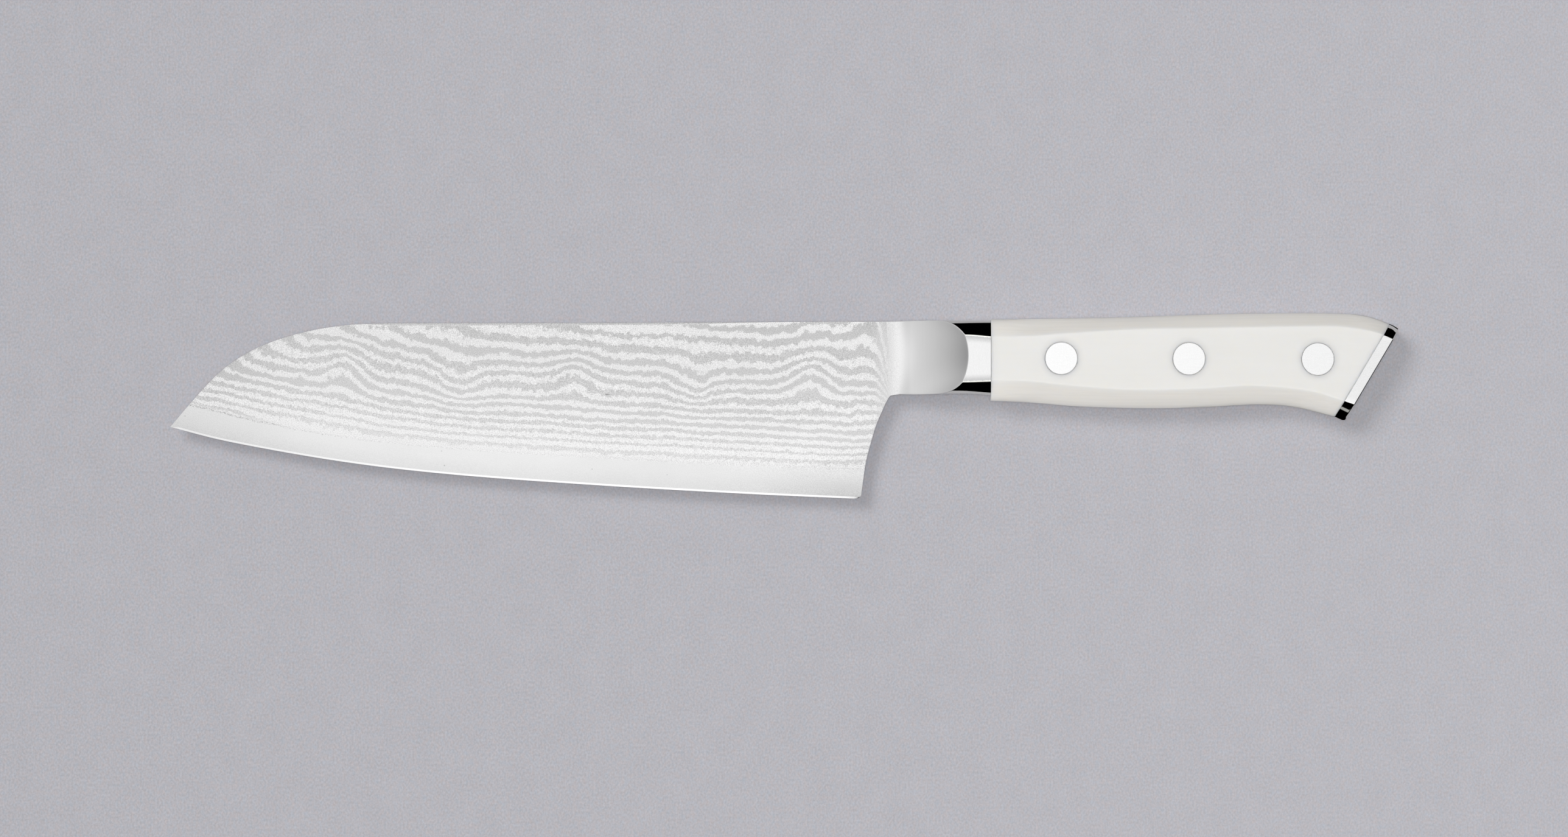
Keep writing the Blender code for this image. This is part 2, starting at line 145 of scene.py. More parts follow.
def lattice(rings, step, clear=0.55):
    """Points of a triangular lattice inside the rings, off their edges."""
    every = np.vstack(rings)
    low, high = every.min(0), every.max(0)
    rows = np.arange(low[1], high[1], step * 0.866)
    found = []
    for k, y in enumerate(rows):
        xs = np.arange(low[0] + (k % 2) * step / 2, high[0], step)
        found.append(np.column_stack([xs, np.full(len(xs), y)]))
    found = np.vstack(found)
    found = found[inside(found, rings)]
    near = np.zeros(len(found), bool)
    for ring in rings:
        ring = np.asarray(ring, float)
        a, b = ring, np.roll(ring, -1, axis=0)
        for p, q in zip(a, b):
            d = q - p
            size = d @ d
            if size < 1e-12:
                continue
            box = (
                (found[:, 0] > min(p[0], q[0]) - step)
                & (found[:, 0] < max(p[0], q[0]) + step)
                & (found[:, 1] > min(p[1], q[1]) - step)
                & (found[:, 1] < max(p[1], q[1]) + step)
            )
            where = np.nonzero(box)[0]
            if not len(where):
                continue
            t = np.clip(((found[where] - p) @ d) / size, 0, 1)
            gap = np.linalg.norm(found[where] - p - t[:, None] * d, axis=1)
            near[where] |= gap < step * clear
    return found[~near]


def fill(rings, step=None, lines=()):
    """Triangles over the area inside the rings: (points, triangles). Rings inside others are holes."""
    rings = [np.asarray(r, float) for r in rings]
    points, edges = [], []
    for ring in rings:
        first = len(points)
        points += [tuple(p) for p in ring]
        edges += [(first + i, first + (i + 1) % len(ring)) for i in range(len(ring))]
    for line in lines:
        first = len(points)
        points += [tuple(p) for p in line]
        edges += [(first + i, first + i + 1) for i in range(len(line) - 1)]
    if step:
        extra = lattice(rings, step)
        if len(lines):
            keep = np.ones(len(extra), bool)
            for line in lines:
                for p in line:
                    keep &= np.linalg.norm(extra - np.asarray(p), axis=1) > step * 0.5
            extra = extra[keep]
        points += [tuple(p) for p in extra]
    out, _, faces, *_ = delaunay_2d_cdt([Vector(p) for p in points], edges, [], 0, 1e-7)
    out = np.array([tuple(p) for p in out])
    faces = np.array([tuple(f) for f in faces if len(f) == 3])
    a, b, c = out[faces[:, 0]], out[faces[:, 1]], out[faces[:, 2]]
    twice = np.abs((b[:, 0] - a[:, 0]) * (c[:, 1] - a[:, 1]) - (b[:, 1] - a[:, 1]) * (c[:, 0] - a[:, 0]))
    faces = faces[inside((a + b + c) / 3, rings) & (twice > 6e-6)]
    return out, faces


class Shell:
    """Gathers faces in millimetres, and welds the corners that coincide."""

    def __init__(self):
        self.points, self.faces, self.kinds = [], [], []

    def add(self, points, faces, kind=0):
        base = sum(len(p) for p in self.points)
        self.points.append(np.asarray(points, float))
        for face in faces:
            self.faces.append([int(i) + base for i in face])
            self.kinds.append(kind)

    def grid(self, rows, kind=0):
        """Quads between successive rows of equal length."""
        rows = np.asarray(rows, float)
        n, m = rows.shape[:2]
        index = np.arange(n * m).reshape(n, m)
        quads = np.stack([index[:-1, :-1], index[:-1, 1:], index[1:, 1:], index[1:, :-1]], -1).reshape(-1, 4)
        self.add(rows.reshape(-1, 3), quads, kind)

    def mirrored(self):
        """Adds the same again on the other side of z = 0."""
        points = np.vstack(self.points)
        faces, kinds = list(self.faces), list(self.kinds)
        base = len(points)
        self.points.append(points * [1, 1, -1])
        self.faces += [[i + base for i in face[::-1]] for face in faces]
        self.kinds += kinds

    def build(self, name, materials, flip=False, attributes=None, sharp=32.0, weld=2e-7):
        """The mesh object, in the row frame in metres, with its faces pointing out."""
        points = np.vstack(self.points)
        if flip:
            points = points * [1, 1, -1]
        mesh = bpy.data.meshes.new(name)
        bm = bmesh.new()
        corners = [bm.verts.new(p) for p in ((points + PLACE) * MM)]
        for face, kind in zip(self.faces, self.kinds):
            ring = []
            for i in face:
                if not ring or corners[i] is not ring[-1]:
                    ring.append(corners[i])
            try:
                made = bm.faces.new(ring)
                made.material_index = kind
            except ValueError:
                continue
        bmesh.ops.remove_doubles(bm, verts=bm.verts, dist=weld)
        bmesh.ops.dissolve_degenerate(bm, dist=weld / 2, edges=bm.edges)
        loose = [v for v in bm.verts if not v.link_faces]
        bmesh.ops.delete(bm, geom=loose, context="VERTS")
        bmesh.ops.recalc_face_normals(bm, faces=bm.faces)
        open_edges = sum(1 for e in bm.edges if len(e.link_faces) != 2)
        bm.to_mesh(mesh)
        bm.free()
        for item in materials:
            mesh.materials.append(item)
        mesh.shade_smooth()
        mesh.set_sharp_from_angle(angle=math.radians(sharp))
        if attributes:
            co = np.empty(len(mesh.vertices) * 3)
            mesh.vertices.foreach_get("co", co)
            local = co.reshape(-1, 3) / MM - PLACE
            for key, rule in attributes.items():
                made = mesh.attributes.new(key, "FLOAT", "POINT")
                made.data.foreach_set("value", np.asarray(rule(local), np.float32))
        obj = bpy.data.objects.new(name, mesh)
        bpy.context.scene.collection.objects.link(obj)
        print(name, len(mesh.vertices), "points", len(mesh.polygons), "faces", open_edges, "open edges")
        return obj


# ------------------------------------------------------------ blade outlines
def half_thickness(x, y):
    """Half the thickness of the ground blade."""
    return HALF_AT_HEEL + RISE_TO_SPINE * (y + 22.95) + RISE_TO_HANDLE * (x - 18.0)


def core_height(x):
    return along(CORE_LINE, x)


def crossing(line, rule):
    """Where a line of points first changes the sign of rule: (its index, the point)."""
    value = np.array([rule(x, y) for x, y in line])
    k = int(np.nonzero(np.diff(np.sign(value)))[0][0])
    share = value[k] / (value[k] - value[k + 1])
    return k, line[k] + share * (line[k + 1] - line[k])


over_core = lambda x, y: y - core_height(x)
edge_line = evenly(smooth(CUTTING_EDGE, 24), 0.7)
corner_line = smooth(HEEL_CORNER, 5)
heel_line = smooth(HEEL, 24)
foot_line = smooth(SHEEPSFOOT, 24)
spine_line = smooth(SPINE, 24)

k, heel_meet = crossing(heel_line, over_core)
heel_low = evenly(np.vstack([heel_line[: k + 1], heel_meet]), 0.6)
heel_high = np.vstack([heel_meet, heel_line[k + 1 :]])
k, foot_meet = crossing(foot_line, over_core)
foot_low = evenly(np.vstack([foot_line[: k + 1], foot_meet]), 0.6)
foot_high = evenly(np.vstack([foot_meet, foot_line[k + 1 :]]), 0.6)
heel_high = heel_high[heel_high[:, 0] < SEAM]
heel_end = np.array([SEAM, float(along(HEEL, SEAM))])
heel_high = evenly(np.vstack([heel_high, heel_end]), 0.5)
spine_end = np.array([SEAM, float(along(SPINE, SEAM))])
spine_run = evenly(np.vstack([spine_line[spine_line[:, 0] < SEAM], spine_end]), 0.8)
xs = np.arange(math.ceil(foot_meet[0]) + 0.5, heel_meet[0] - 0.4, 0.7)
core_run = np.vstack([foot_meet, np.column_stack([xs, core_height(xs)]), heel_meet])

TONGUE = (4.7, 19.7)  # the blank inside the bolster
TONGUE_HALF = 0.5
ends = {}
for key, curve, lift in (("bottom", HANDLE_BOTTOM, 0.05), ("top", HANDLE_TOP, -0.05)):
    line = smooth(curve, 24) + [0, lift]
    line = line[line[:, 0] > BOLSTER_BACK + 0.1]
    line = np.vstack([[BOLSTER_BACK, float(along(curve, BOLSTER_BACK)) + lift], line])
    over = line @ NORMAL - (CAP_FRONT - GAP)
    k = int(np.nonzero(over > 0)[0][0])
    share = over[k - 1] / (over[k - 1] - over[k])
    ends[key] = evenly(np.vstack([line[:k], line[k - 1] + share * (line[k] - line[k - 1])]), 1.5)

behind = [
    np.array([[SEAM, TONGUE[0]]]),
    np.array([[BOLSTER_BACK, TONGUE[0]]]),
    ends["bottom"],
    ends["top"][::-1],
    np.array([[BOLSTER_BACK, TONGUE[1]]]),
    np.array([[SEAM, TONGUE[1]]]),
]
turn = np.linspace(0, 2 * math.pi, 48, endpoint=False)
tang_holes = [
    np.column_stack([x + (BARREL_R + 0.03) * np.cos(turn), y + (BARREL_R + 0.03) * np.sin(turn)])
    for x, y in RIVETS.values()
]
seam_line = np.column_stack([np.full(31, SEAM), np.linspace(TONGUE[0], TONGUE[1], 31)])


def blank_height(points):
    """Outer height of the cladding over the middle plane."""
    x, y = points[:, 0], points[:, 1]
    blade = half_thickness(x, y)
    return np.where(x <= SEAM + 1e-6, blade, np.where(x < BOLSTER_BACK - 1e-3, TONGUE_HALF, TANG_HALF))


def eased(ring, width):
    """The outline drawn in by that width: same count, shifted inward."""
    ring = np.asarray(ring, float)
    ahead, back = np.roll(ring, -1, axis=0) - ring, ring - np.roll(ring, 1, axis=0)
    ahead /= np.linalg.norm(ahead, axis=1)[:, None] + 1e-12
    back /= np.linalg.norm(back, axis=1)[:, None] + 1e-12
    tangent = ahead + back
    tangent /= np.linalg.norm(tangent, axis=1)[:, None] + 1e-12
    normal = np.column_stack([-tangent[:, 1], tangent[:, 0]])
    return ring + normal * np.asarray(width, float)[:, None]


# ---------------------------------------------- how the layers of steel lie
# Left side: the run of each layer. Whole numbers are the middles of the bright
# layers and halves the middles of the dark ones, counted up from the core.
LAYERS = {
    0.5: [(-152, 3.6), (-146.3, 2.2), (-140.6, 1.5), (-135.7, 0.3), (-129.7, -1.2), (-124.5, -1.9), (-119.4, -2.9), (-113.3, -4.1), (-107.3, -5.2), (-101.2, -6.4), (-95.1, -7.2), (-89.1, -7.6), (-84.2, -8.4), (-77, -9.0), (-70, -9.4), (-61.8, -10.0), (-52.7, -10.5), (-42.1, -11.2), (-31.5, -11.55), (-24.5, -12.3), (-16.3, -12.5), (-7.3, -12.9), (3.6, -13.5), (13.3, -13.8), (20, -13.5), (30, -13.5)],
    1.5: [(-152, 6.2), (-144.7, 4.05), (-140, 3.45), (-135.1, 2.3), (-128.8, 0.8), (-121.8, -0.7), (-115.4, -1.8), (-107.3, -3.2), (-101.2, -4.6), (-95.1, -5.35), (-86.1, -6.5), (-77, -7.2), (-67, -7.8), (-57.3, -8.3), (-48.5, -8.8), (-37, -9.5), (-27.6, -9.8), (-19.4, -10.4), (-10.9, -10.7), (-2.4, -11.4), (5.8, -11.8), (15.4, -12.3), (20.3, -11.9), (30, -11.9)],
    2.5: [(-152, 8.8), (-142.7, 6.0), (-137.6, 4.7), (-133.3, 4.1), (-128.5, 3.0), (-123.9, 1.7), (-117, 1.2), (-113.3, -0.1), (-110.9, -0.1), (-107.3, -1.0), (-101.2, -2.5), (-92.1, -3.5), (-84.3, -4.7), (-77, -5.4), (-67.9, -5.9), (-60.3, -6.1), (-52.7, -6.6), (-44.2, -7.4), (-34.5, -7.9), (-28.5, -7.9), (-19.4, -8.6), (-12, -9.0), (-4.2, -9.3), (4.8, -10.0), (13.9, -10.3), (20.9, -10.2), (30, -10.2)],
    3.5: [(-152, 12.0), (-146, 10.0), (-139.1, 7.4), (-134.5, 6.4), (-129.7, 5.5), (-124.8, 4.4), (-120.6, 3.5), (-112.4, 2.5), (-108.8, 1.5), (-104.2, 0.5), (-100.6, -0.5), (-93.6, -1.6), (-86.1, -2.8), (-77, -3.4), (-67.9, -3.9), (-59.4, -4.1), (-52.1, -4.9), (-44.2, -5.4), (-34.5, -6.0), (-28.5, -5.9), (-20.3, -6.9), (-11.8, -6.9), (-2.4, -7.8), (5.4, -8.1), (10.9, -8.4), (18.2, -8.9), (24, -8.5), (30, -8.5)],
    4.5: [(-152, 15.0), (-140, 11.2), (-137, 9.7), (-133, 8.4), (-127, 6.9), (-120.9, 5.6), (-114.8, 5.4), (-111, 6.0), (-108.5, 5.2), (-105.8, 3.4), (-99.7, 1.3), (-93.6, 0.4), (-87.6, -0.3), (-80, -1.6), (-69.4, -2.1), (-58.8, -2.4), (-51.2, -3.2), (-43, -3.7), (-33.6, -4.0), (-27.6, -4.4), (-19.4, -4.9), (-11.5, -5.1), (-1.8, -5.7), (6, -6.3), (10.9, -6.4), (17.6, -7.0), (24, -6.4), (30, -6.4)],
    5: [(-152, 17.5), (-137.0, 13.8), (-135.6, 12.0), (-134.6, 10.1), (-128.8, 8.8), (-123.3, 7.4), (-120, 7.5), (-117.3, 6.6), (-114.6, 7.2), (-112.6, 8.8), (-108.6, 8.4), (-107.1, 6.6), (-105.5, 4.7), (-102.7, 3.2), (-97.3, 2.1), (-88.5, 1.1), (-84.5, -0.4), (-80, -0.9), (-73.9, -0.7), (-66.4, -0.7), (-58.8, -1.4), (-50.3, -2.1), (-40.6, -2.6), (-33.6, -3.1), (-29.1, -3.0), (-23.9, -3.8), (-16.3, -3.9), (-8.8, -4.3), (-3.3, -4.4), (-1.2, -4.8), (6.4, -5.6), (8.5, -5.0), (13.9, -5.8), (20, -5.3), (30, -5.0)],
    6: [(-152, 20.0), (-134.5, 16.5), (-132.6, 13.6), (-130.6, 12.1), (-125.8, 11.1), (-120.9, 10.0), (-117, 9.8), (-113.2, 10.6), (-110.3, 11.9), (-108.2, 11.4), (-104.5, 7.9), (-102.1, 5.5), (-97.3, 4.6), (-90.6, 3.4), (-86.1, 2.0), (-81.5, 1.1), (-76.7, 0.9), (-71.5, 1.3), (-61.8, 0.9), (-54.2, 0.6), (-46.7, -0.3), (-39.7, -0.9), (-31.2, -1.0), (-27, -1.8), (-20.9, -2.5), (-14.8, -2.3), (-5.8, -2.5), (-0.6, -3.0), (4.8, -2.8), (9.4, -3.2), (11.5, -3.0), (16.4, -3.8), (20, -3.1), (30, -2.6)],
    7: [(-152, 23.0), (-131.0, 20.5), (-128.6, 17.0), (-127.9, 14.6), (-124.5, 13.1), (-119.7, 12.2), (-115.5, 12.9), (-110.9, 13.6), (-107.3, 12.7), (-104.5, 10.6), (-102.1, 8.5), (-99.7, 7.6), (-93.6, 7.0), (-88.5, 5.4), (-85.8, 4.3), (-83.3, 2.8), (-80, 2.2), (-73.9, 3.1), (-69.4, 3.4), (-62.4, 2.8), (-59.1, 2.6), (-54.2, 4.2), (-51.5, 4.4), (-49.7, 2.6), (-45.1, 1.6), (-40, 1.6), (-31.2, 1.2), (-27.6, 0.1), (-20, -0.7), (-13.3, -0.1), (-4.2, -0.8), (1.8, -0.8), (7.9, 0.1), (12.7, -1.2), (15.5, -1.5), (18.5, -0.5), (24, -1.0), (30, -2.0)],
    8: [(-140, 26.0), (-124.0, 21.5), (-122.2, 18.5), (-121.6, 17.0), (-119.4, 15.9), (-114.8, 15.4), (-110.3, 15.8), (-106, 14.7), (-103.6, 13.0), (-99.7, 11.2), (-96.1, 10.6), (-90.3, 9.5), (-86.0, 7.9), (-83.9, 5.6), (-81.5, 4.7), (-78, 4.5), (-75.8, 6.0), (-73.9, 6.8), (-66.4, 6.9), (-62.5, 6.1), (-57.3, 6.6), (-54.4, 8.3), (-51.2, 8.4), (-48.2, 6.9), (-44.6, 4.8), (-39.1, 4.6), (-33.3, 3.8), (-29.1, 3.3), (-23.6, 1.1), (-20, 1.2), (-14.8, 2.6), (-8.8, 2.4), (0, 2.4), (3, 3.9), (5.8, 5.6), (8.6, 4.6), (9.6, 3.1), (13.9, 1.9), (18.5, 2.1), (22.5, 1.9), (24.8, 0.7), (28, -1.5)],
    9: [(-140, 30.0), (-124, 23.0), (-117.5, 18.8), (-113, 17.8), (-109.1, 17.2), (-106, 16.2), (-102.7, 15.6), (-99.7, 13.9), (-95.5, 13.5), (-93.6, 12.4), (-89.4, 12.0), (-86.1, 9.9), (-84.3, 8.4), (-83.4, 7.3), (-78.2, 7.2), (-76.4, 8.5), (-70.3, 9.5), (-65, 8.8), (-60.3, 8.7), (-56.7, 9.6), (-53.6, 10.7), (-50.6, 10.5), (-46.7, 8.4), (-43.6, 7.2), (-35.5, 6.6), (-30, 6.6), (-27, 4.4), (-22.4, 2.7), (-20.3, 2.5), (-18.4, 3.9), (-13.9, 4.7), (-7.3, 4.5), (-1.8, 4.4), (1.8, 6.3), (4.85, 8.5), (7.2, 8.6), (10.3, 7.2), (12.7, 4.9), (14.5, 3.9), (18.5, 3.9), (22.4, 4.0), (25.2, 1.9), (28, -1.2)],
    10: [(-130, 32.0), (-112, 24.5), (-107.3, 21.0), (-106.2, 19.0), (-102.7, 18.2), (-99.7, 16.9), (-97.3, 16.9), (-92.5, 15.2), (-88.5, 14.8), (-84.5, 13.3), (-79.5, 11.2), (-76, 11.7), (-69.4, 12.0), (-65, 11.3), (-60.6, 11.1), (-57.3, 11.8), (-51.5, 12.3), (-47.3, 11.2), (-43.9, 9.6), (-39.1, 9.2), (-29.1, 8.8), (-26.4, 7.2), (-25.2, 5.8), (-19.4, 4.5), (-17.9, 6.2), (-13.9, 7.1), (-7.3, 6.9), (-0.9, 7.3), (3.3, 9.6), (6.4, 10.6), (8.5, 10.5), (11.5, 8.8), (14.85, 6.7), (18.5, 6.8), (20.6, 7.2), (22.5, 6.6), (24.5, 4.2), (28, -0.9)],
    11: [(-130, 36.0), (-100, 26.5), (-96, 21.0), (-94, 19.3), (-90.4, 18.8), (-88.5, 17.5), (-83.3, 17.0), (-80.3, 15.7), (-74.5, 15.5), (-67.9, 14.7), (-60.9, 13.9), (-54.2, 14.4), (-48.8, 14.1), (-42.7, 12.4), (-34.5, 12.3), (-30, 11.7), (-26.1, 11.4), (-22.7, 9.9), (-20.6, 8.1), (-18.4, 9.5), (-13.9, 10.3), (-7.3, 9.9), (-2.5, 9.5), (2.4, 11.5), (6.7, 12.6), (9.5, 12.8), (12.7, 11.4), (15.5, 10.2), (17, 9.6), (18.7, 10.6), (21.8, 10.6), (23.9, 8.1), (25.6, 4.2), (28, -0.6)],
    12: [(-110, 34.0), (-82, 24.0), (-77.5, 20.5), (-75, 19.1), (-67.9, 18.2), (-63.3, 17.7), (-57.3, 17.6), (-52.7, 16.8), (-45.8, 16.6), (-41.5, 15.8), (-31.2, 15.4), (-26, 15.0), (-22.1, 13.7), (-19.4, 14.4), (-12.7, 13.8), (-7.6, 13.9), (-3.6, 13.1), (2.4, 14.5), (7, 15.0), (9.1, 15.6), (13.3, 14.6), (17, 15.3), (19.2, 16.3), (21.5, 15.5), (23, 14.2), (23.9, 12.1), (25.2, 7.8), (26.0, 4.5), (28, -0.3)],
    13: [(-100, 36.0), (-60, 25.0), (-53, 21.5), (-49.7, 19.6), (-42.1, 19.1), (-33, 18.8), (-24, 18.8), (-20, 18.1), (-11.8, 17.5), (-5.1, 17.0), (0.3, 17.2), (3.3, 17.7), (5.2, 19.0), (8, 19.2), (10.5, 19.8), (12.5, 18.6), (15.2, 18.5), (17, 19.9), (20, 22.0), (22.8, 22.3), (23.7, 20.0), (24.2, 17.5), (24.9, 14.5), (25.5, 9.5), (26.2, 4.6), (28, 0.0)],
    14: [(-100, 40.0), (-60, 30.0), (-30, 23.0), (-22, 20.6), (-16, 20.1), (-4.2, 20.2), (2, 20.6), (6, 21.5), (15, 23.5), (22, 26.0), (25.6, 25.0), (26.1, 20.0), (26.4, 15.0), (26.7, 9.5), (27.1, 4.8), (28, 0.4)],
}
RUN = np.arange(-156.0, 31.0, 0.1)
BELL = np.exp(-0.5 * (np.arange(-14, 15) / 4.5) ** 2)
BELL /= BELL.sum()


def eased_line(points):
    """Heights of a line of points over RUN, its corners rounded."""
    straight = np.interp(RUN, [p[0] for p in points], [p[1] for p in points])
    return np.convolve(np.pad(straight, 14, "edge"), BELL, "valid")


STACK = [core_height(RUN)] + [eased_line(LAYERS[key]) for key in sorted(LAYERS)]
STACK = np.maximum.accumulate(np.array(STACK) + np.arange(len(STACK))[:, None] * 0.03, axis=0)
MARKS = [None, *sorted(LAYERS)]


def left_layers(x, y):
    marks = [np.interp(x, [-150, -144, -137, -131.5, -125, -116], [-0.9, -0.9, -1.2, -0.7, -0.3, 0.0])]
    marks += [np.full(len(x), mark) for mark in MARKS[1:]]
    lines = [np.interp(x, RUN, row) for row in STACK]
    n = marks[0] + (y - lines[0]) * 0.1
    for low, high, a, b in zip(lines, lines[1:], marks, marks[1:]):
        n = np.where(y >= low, a + (b - a) * (y - low) / (high - low), n)
    return n


# Right side: humps where the smith's hammer moved the layers: x, height, rise,
# spread left and right, spread below and above, all in millimetres.
HEIGHTS = np.linspace(-4, 48, 2601)
COUNTS = np.concatenate([[0], np.cumsum(np.diff(HEIGHTS) / (1.8 + 0.0022 * np.clip(HEIGHTS[1:], 0, None) ** 1.95))])
COUNTS += 1 - np.interp(2.6, HEIGHTS, COUNTS)
HUMPS = [
    (-122.0, 14.0, 2.8, 6.0, 8.0, 4.0, 4.0),
    (-92.0, 20.5, -3.0, 6.0, 5.0, 3.6, 4.6),
    (-66.0, 16.0, 3.2, 5.0, 7.0, 3.2, 4.0),
    (-34.0, 23.5, 3.6, 4.6, 5.6, 4.0, 3.6),
    (-8.0, 19.0, -3.4, 6.0, 4.0, 3.2, 5.0),
    (15.0, 27.5, 2.6, 4.5, 4.0, 3.4, 3.4),
]
TIP_RUN = np.linspace(-152.9, -99, 200)
TIP_SLOPE = np.gradient(along(SHEEPSFOOT, TIP_RUN), TIP_RUN)


def right_layers(x, y):
    h = y - core_height(x)
    lift = np.zeros(len(x))
    for cx, ch, rise, left, right, below, above in HUMPS:
        sx = np.where(x < cx, left, right)
        sh = np.where(h < ch, below, above)
        lift += rise * np.exp(-0.5 * ((x - cx) / sx) ** 2 - 0.5 * ((h - ch) / sh) ** 2)
    tight = np.interp(x, [-150, -100, -60, 20], [0.82, 0.92, 1.0, 1.03])
    n = np.interp((h - lift) * tight, HEIGHTS, COUNTS)
    # Drawn down into the neck, and turned back where the tip was ground round.
    n = n + 0.13 * np.clip(x - 19.3, 0, None) ** 2 * ramp(y, -3, 5)
    top = np.where(x < -99, along(SHEEPSFOOT, x), 20.8)
    off = (top - y) / np.sqrt(1 + np.interp(x, TIP_RUN, TIP_SLOPE) ** 2)
    bent = np.interp(x, [-150, -130, -120, -105, -98], [0.3, 0.5, 1.2, 1.2, 0.0])
    return n - bent * np.exp(-np.clip(off, 0, None) / 1.6)


def layer_count(local, side):
    """Which layer of the stack shows at each point of the blade's side."""
    x, y, z = local[:, 0], local[:, 1], local[:, 2] * side
    n = left_layers(x, y) if side > 0 else right_layers(x, y)
    # Through the thickness, a layer is 0.05 mm.
    depth = np.clip(half_thickness(x, y) - z, 0, None)
    return n - np.where(x < SEAM + 0.1, depth / 0.05, 0)


# ------------------------------------------------------------------- nodes
class Finish:
    """A material with short ways to make its nodes."""

    def __init__(self, name, **constants):
        self.material = bpy.data.materials.new(name)
        self.material.use_nodes = True
        self.tree = self.material.node_tree
        self.shader = self.tree.nodes["Principled BSDF"]
        for key, value in constants.items():
            self.shader.inputs[key.replace("_", " ")].default_value = value

    def node(self, kind, **settings):
        made = self.tree.nodes.new(kind)
        for key, value in settings.items():
            setattr(made, key, value)
        return made

    def join(self, value, socket):
        if isinstance(value, bpy.types.NodeSocket):
            self.tree.links.new(value, socket)
        elif value is not None:
            socket.default_value = value

    def math(self, operation, a, b=None, c=None, clamp=False):
        made = self.node("ShaderNodeMath", operation=operation, use_clamp=clamp)
        for value, socket in zip((a, b, c), made.inputs):
            self.join(value, socket)
        return made.outputs[0]

    def add(self, a, b):
        return self.math("ADD", a, b)

    def sub(self, a, b):
        return self.math("SUBTRACT", a, b)

    def mul(self, a, b):
        return self.math("MULTIPLY", a, b)

    def value(self, name):
        return self.node("ShaderNodeAttribute", attribute_name=name).outputs["Fac"]

    def place(self, scale=(1, 1, 1), turn=(0, 0, 0)):
        """Coordinates in millimetres, times scale."""
        where = self.node("ShaderNodeTexCoord").outputs["Object"]
        made = self.node("ShaderNodeMapping")
        self.join(where, made.inputs["Vector"])
        made.inputs["Scale"].default_value = tuple(1000 * s for s in scale)
        made.inputs["Rotation"].default_value = turn
        return made.outputs["Vector"]

    def noise(self, scale=(1, 1, 1), detail=2.0, rough=0.5, turn=(0, 0, 0), seed=0.0, shift=None):
        made = self.node("ShaderNodeTexNoise", noise_dimensions="4D")
        vector = self.place(scale, turn)
        if shift is not None:
            moved = self.node("ShaderNodeVectorMath", operation="ADD")
            self.join(vector, moved.inputs[0])
            self.join(shift, moved.inputs[1])
            vector = moved.outputs[0]
        self.join(vector, made.inputs["Vector"])
        made.inputs["W"].default_value = seed
        made.inputs["Scale"].default_value = 1.0
        made.inputs["Detail"].default_value = detail
        made.inputs["Roughness"].default_value = rough
        return made.outputs["Fac"]

    def band(self, value, low, high, out_low=0.0, out_high=1.0, soft=True):
        made = self.node("ShaderNodeMapRange", interpolation_type="SMOOTHSTEP" if soft else "LINEAR")
        for key, item in (("Value", value), ("From Min", low), ("From Max", high), ("To Min", out_low), ("To Max", out_high)):
            self.join(item, made.inputs[key])
        return made.outputs["Result"]

    def mix(self, share, a, b):
        made = self.node("ShaderNodeMix", data_type="FLOAT")
        self.join(share, made.inputs[0])
        self.join(a, made.inputs[2])
        self.join(b, made.inputs[3])
        return made.outputs[0]

    def tint(self, share, a, b):
        made = self.node("ShaderNodeMix", data_type="RGBA")
        self.join(share, made.inputs[0])
        self.join(a, made.inputs[6])
        self.join(b, made.inputs[7])
        return made.outputs[2]

    def grey(self, value, warm=(1.0, 1.0, 1.0)):
        """A colour of that value, a little warmer or cooler."""
        made = self.node("ShaderNodeCombineColor")
        for socket, share in zip(made.inputs, warm):
            self.join(self.mul(value, share) if share != 1.0 else value, socket)
        return made.outputs[0]

    def bump(self, height, distance, strength=1.0, after=None):
        made = self.node("ShaderNodeBump")
        made.inputs["Strength"].default_value = strength
        made.inputs["Distance"].default_value = distance * MM
        self.join(height, made.inputs["Height"])
        if after is not None:
            self.join(after, made.inputs["Normal"])
        return made.outputs["Normal"]

    def set(self, **values):
        for key, value in values.items():
            self.join(value, self.shader.inputs[key.replace("_", " ")])
        return self


def linear(level):
    """Linear value of an sRGB level from 0 to 255."""
    c = level / 255
    return c / 12.92 if c <= 0.04045 else ((c + 0.055) / 1.055) ** 2.4


def steel(level, rough=0.36):
    """The base value that a level steel surface of that roughness needs to look that bright."""
    return linear(level) / float(np.interp(rough, [0.24, 0.27, 0.30, 0.36, 0.42, 0.44], [1.13, 1.093, 1.056, 0.978, 0.907, 0.889]))


def split_xyz(f):
    made = f.node("ShaderNodeSeparateXYZ")
    f.join(f.place(), made.inputs[0])
    return made.outputs


def frosted(f, grain, x):
    """Value and roughness of the frosted steel where the blade runs into the neck."""
    level = f.band(f.add(x, f.mul(grain, 1.2)), 24.8, 29.2, steel(221, 0.4), steel(243, 0.4))
    return f.mul(level, f.add(1.0, f.mul(grain, 0.50))), f.add(0.40, f.mul(grain, 0.12))


def fine_grain(f):
    return f.sub(f.noise((5.0, 5.0, 5.0), 1.0, 0.6, seed=12.0), 0.5)


def spots(f, value, places):
    """Darkens value at small marks: x, y, half length, half height and how dark, in millimetres."""
    x, y, _ = split_xyz(f)
    for cx, cy, long, tall, depth in places:
        u = f.mul(f.sub(x, cx + PLACE[0]), 1 / long)
        v = f.mul(f.sub(y, cy + PLACE[1]), 1 / tall)
        away = f.math("SQRT", f.add(f.mul(u, u), f.mul(v, v)))
        value = f.mul(value, f.band(away, 0.5, 1.3, 1 - depth, 1.0))
    return value


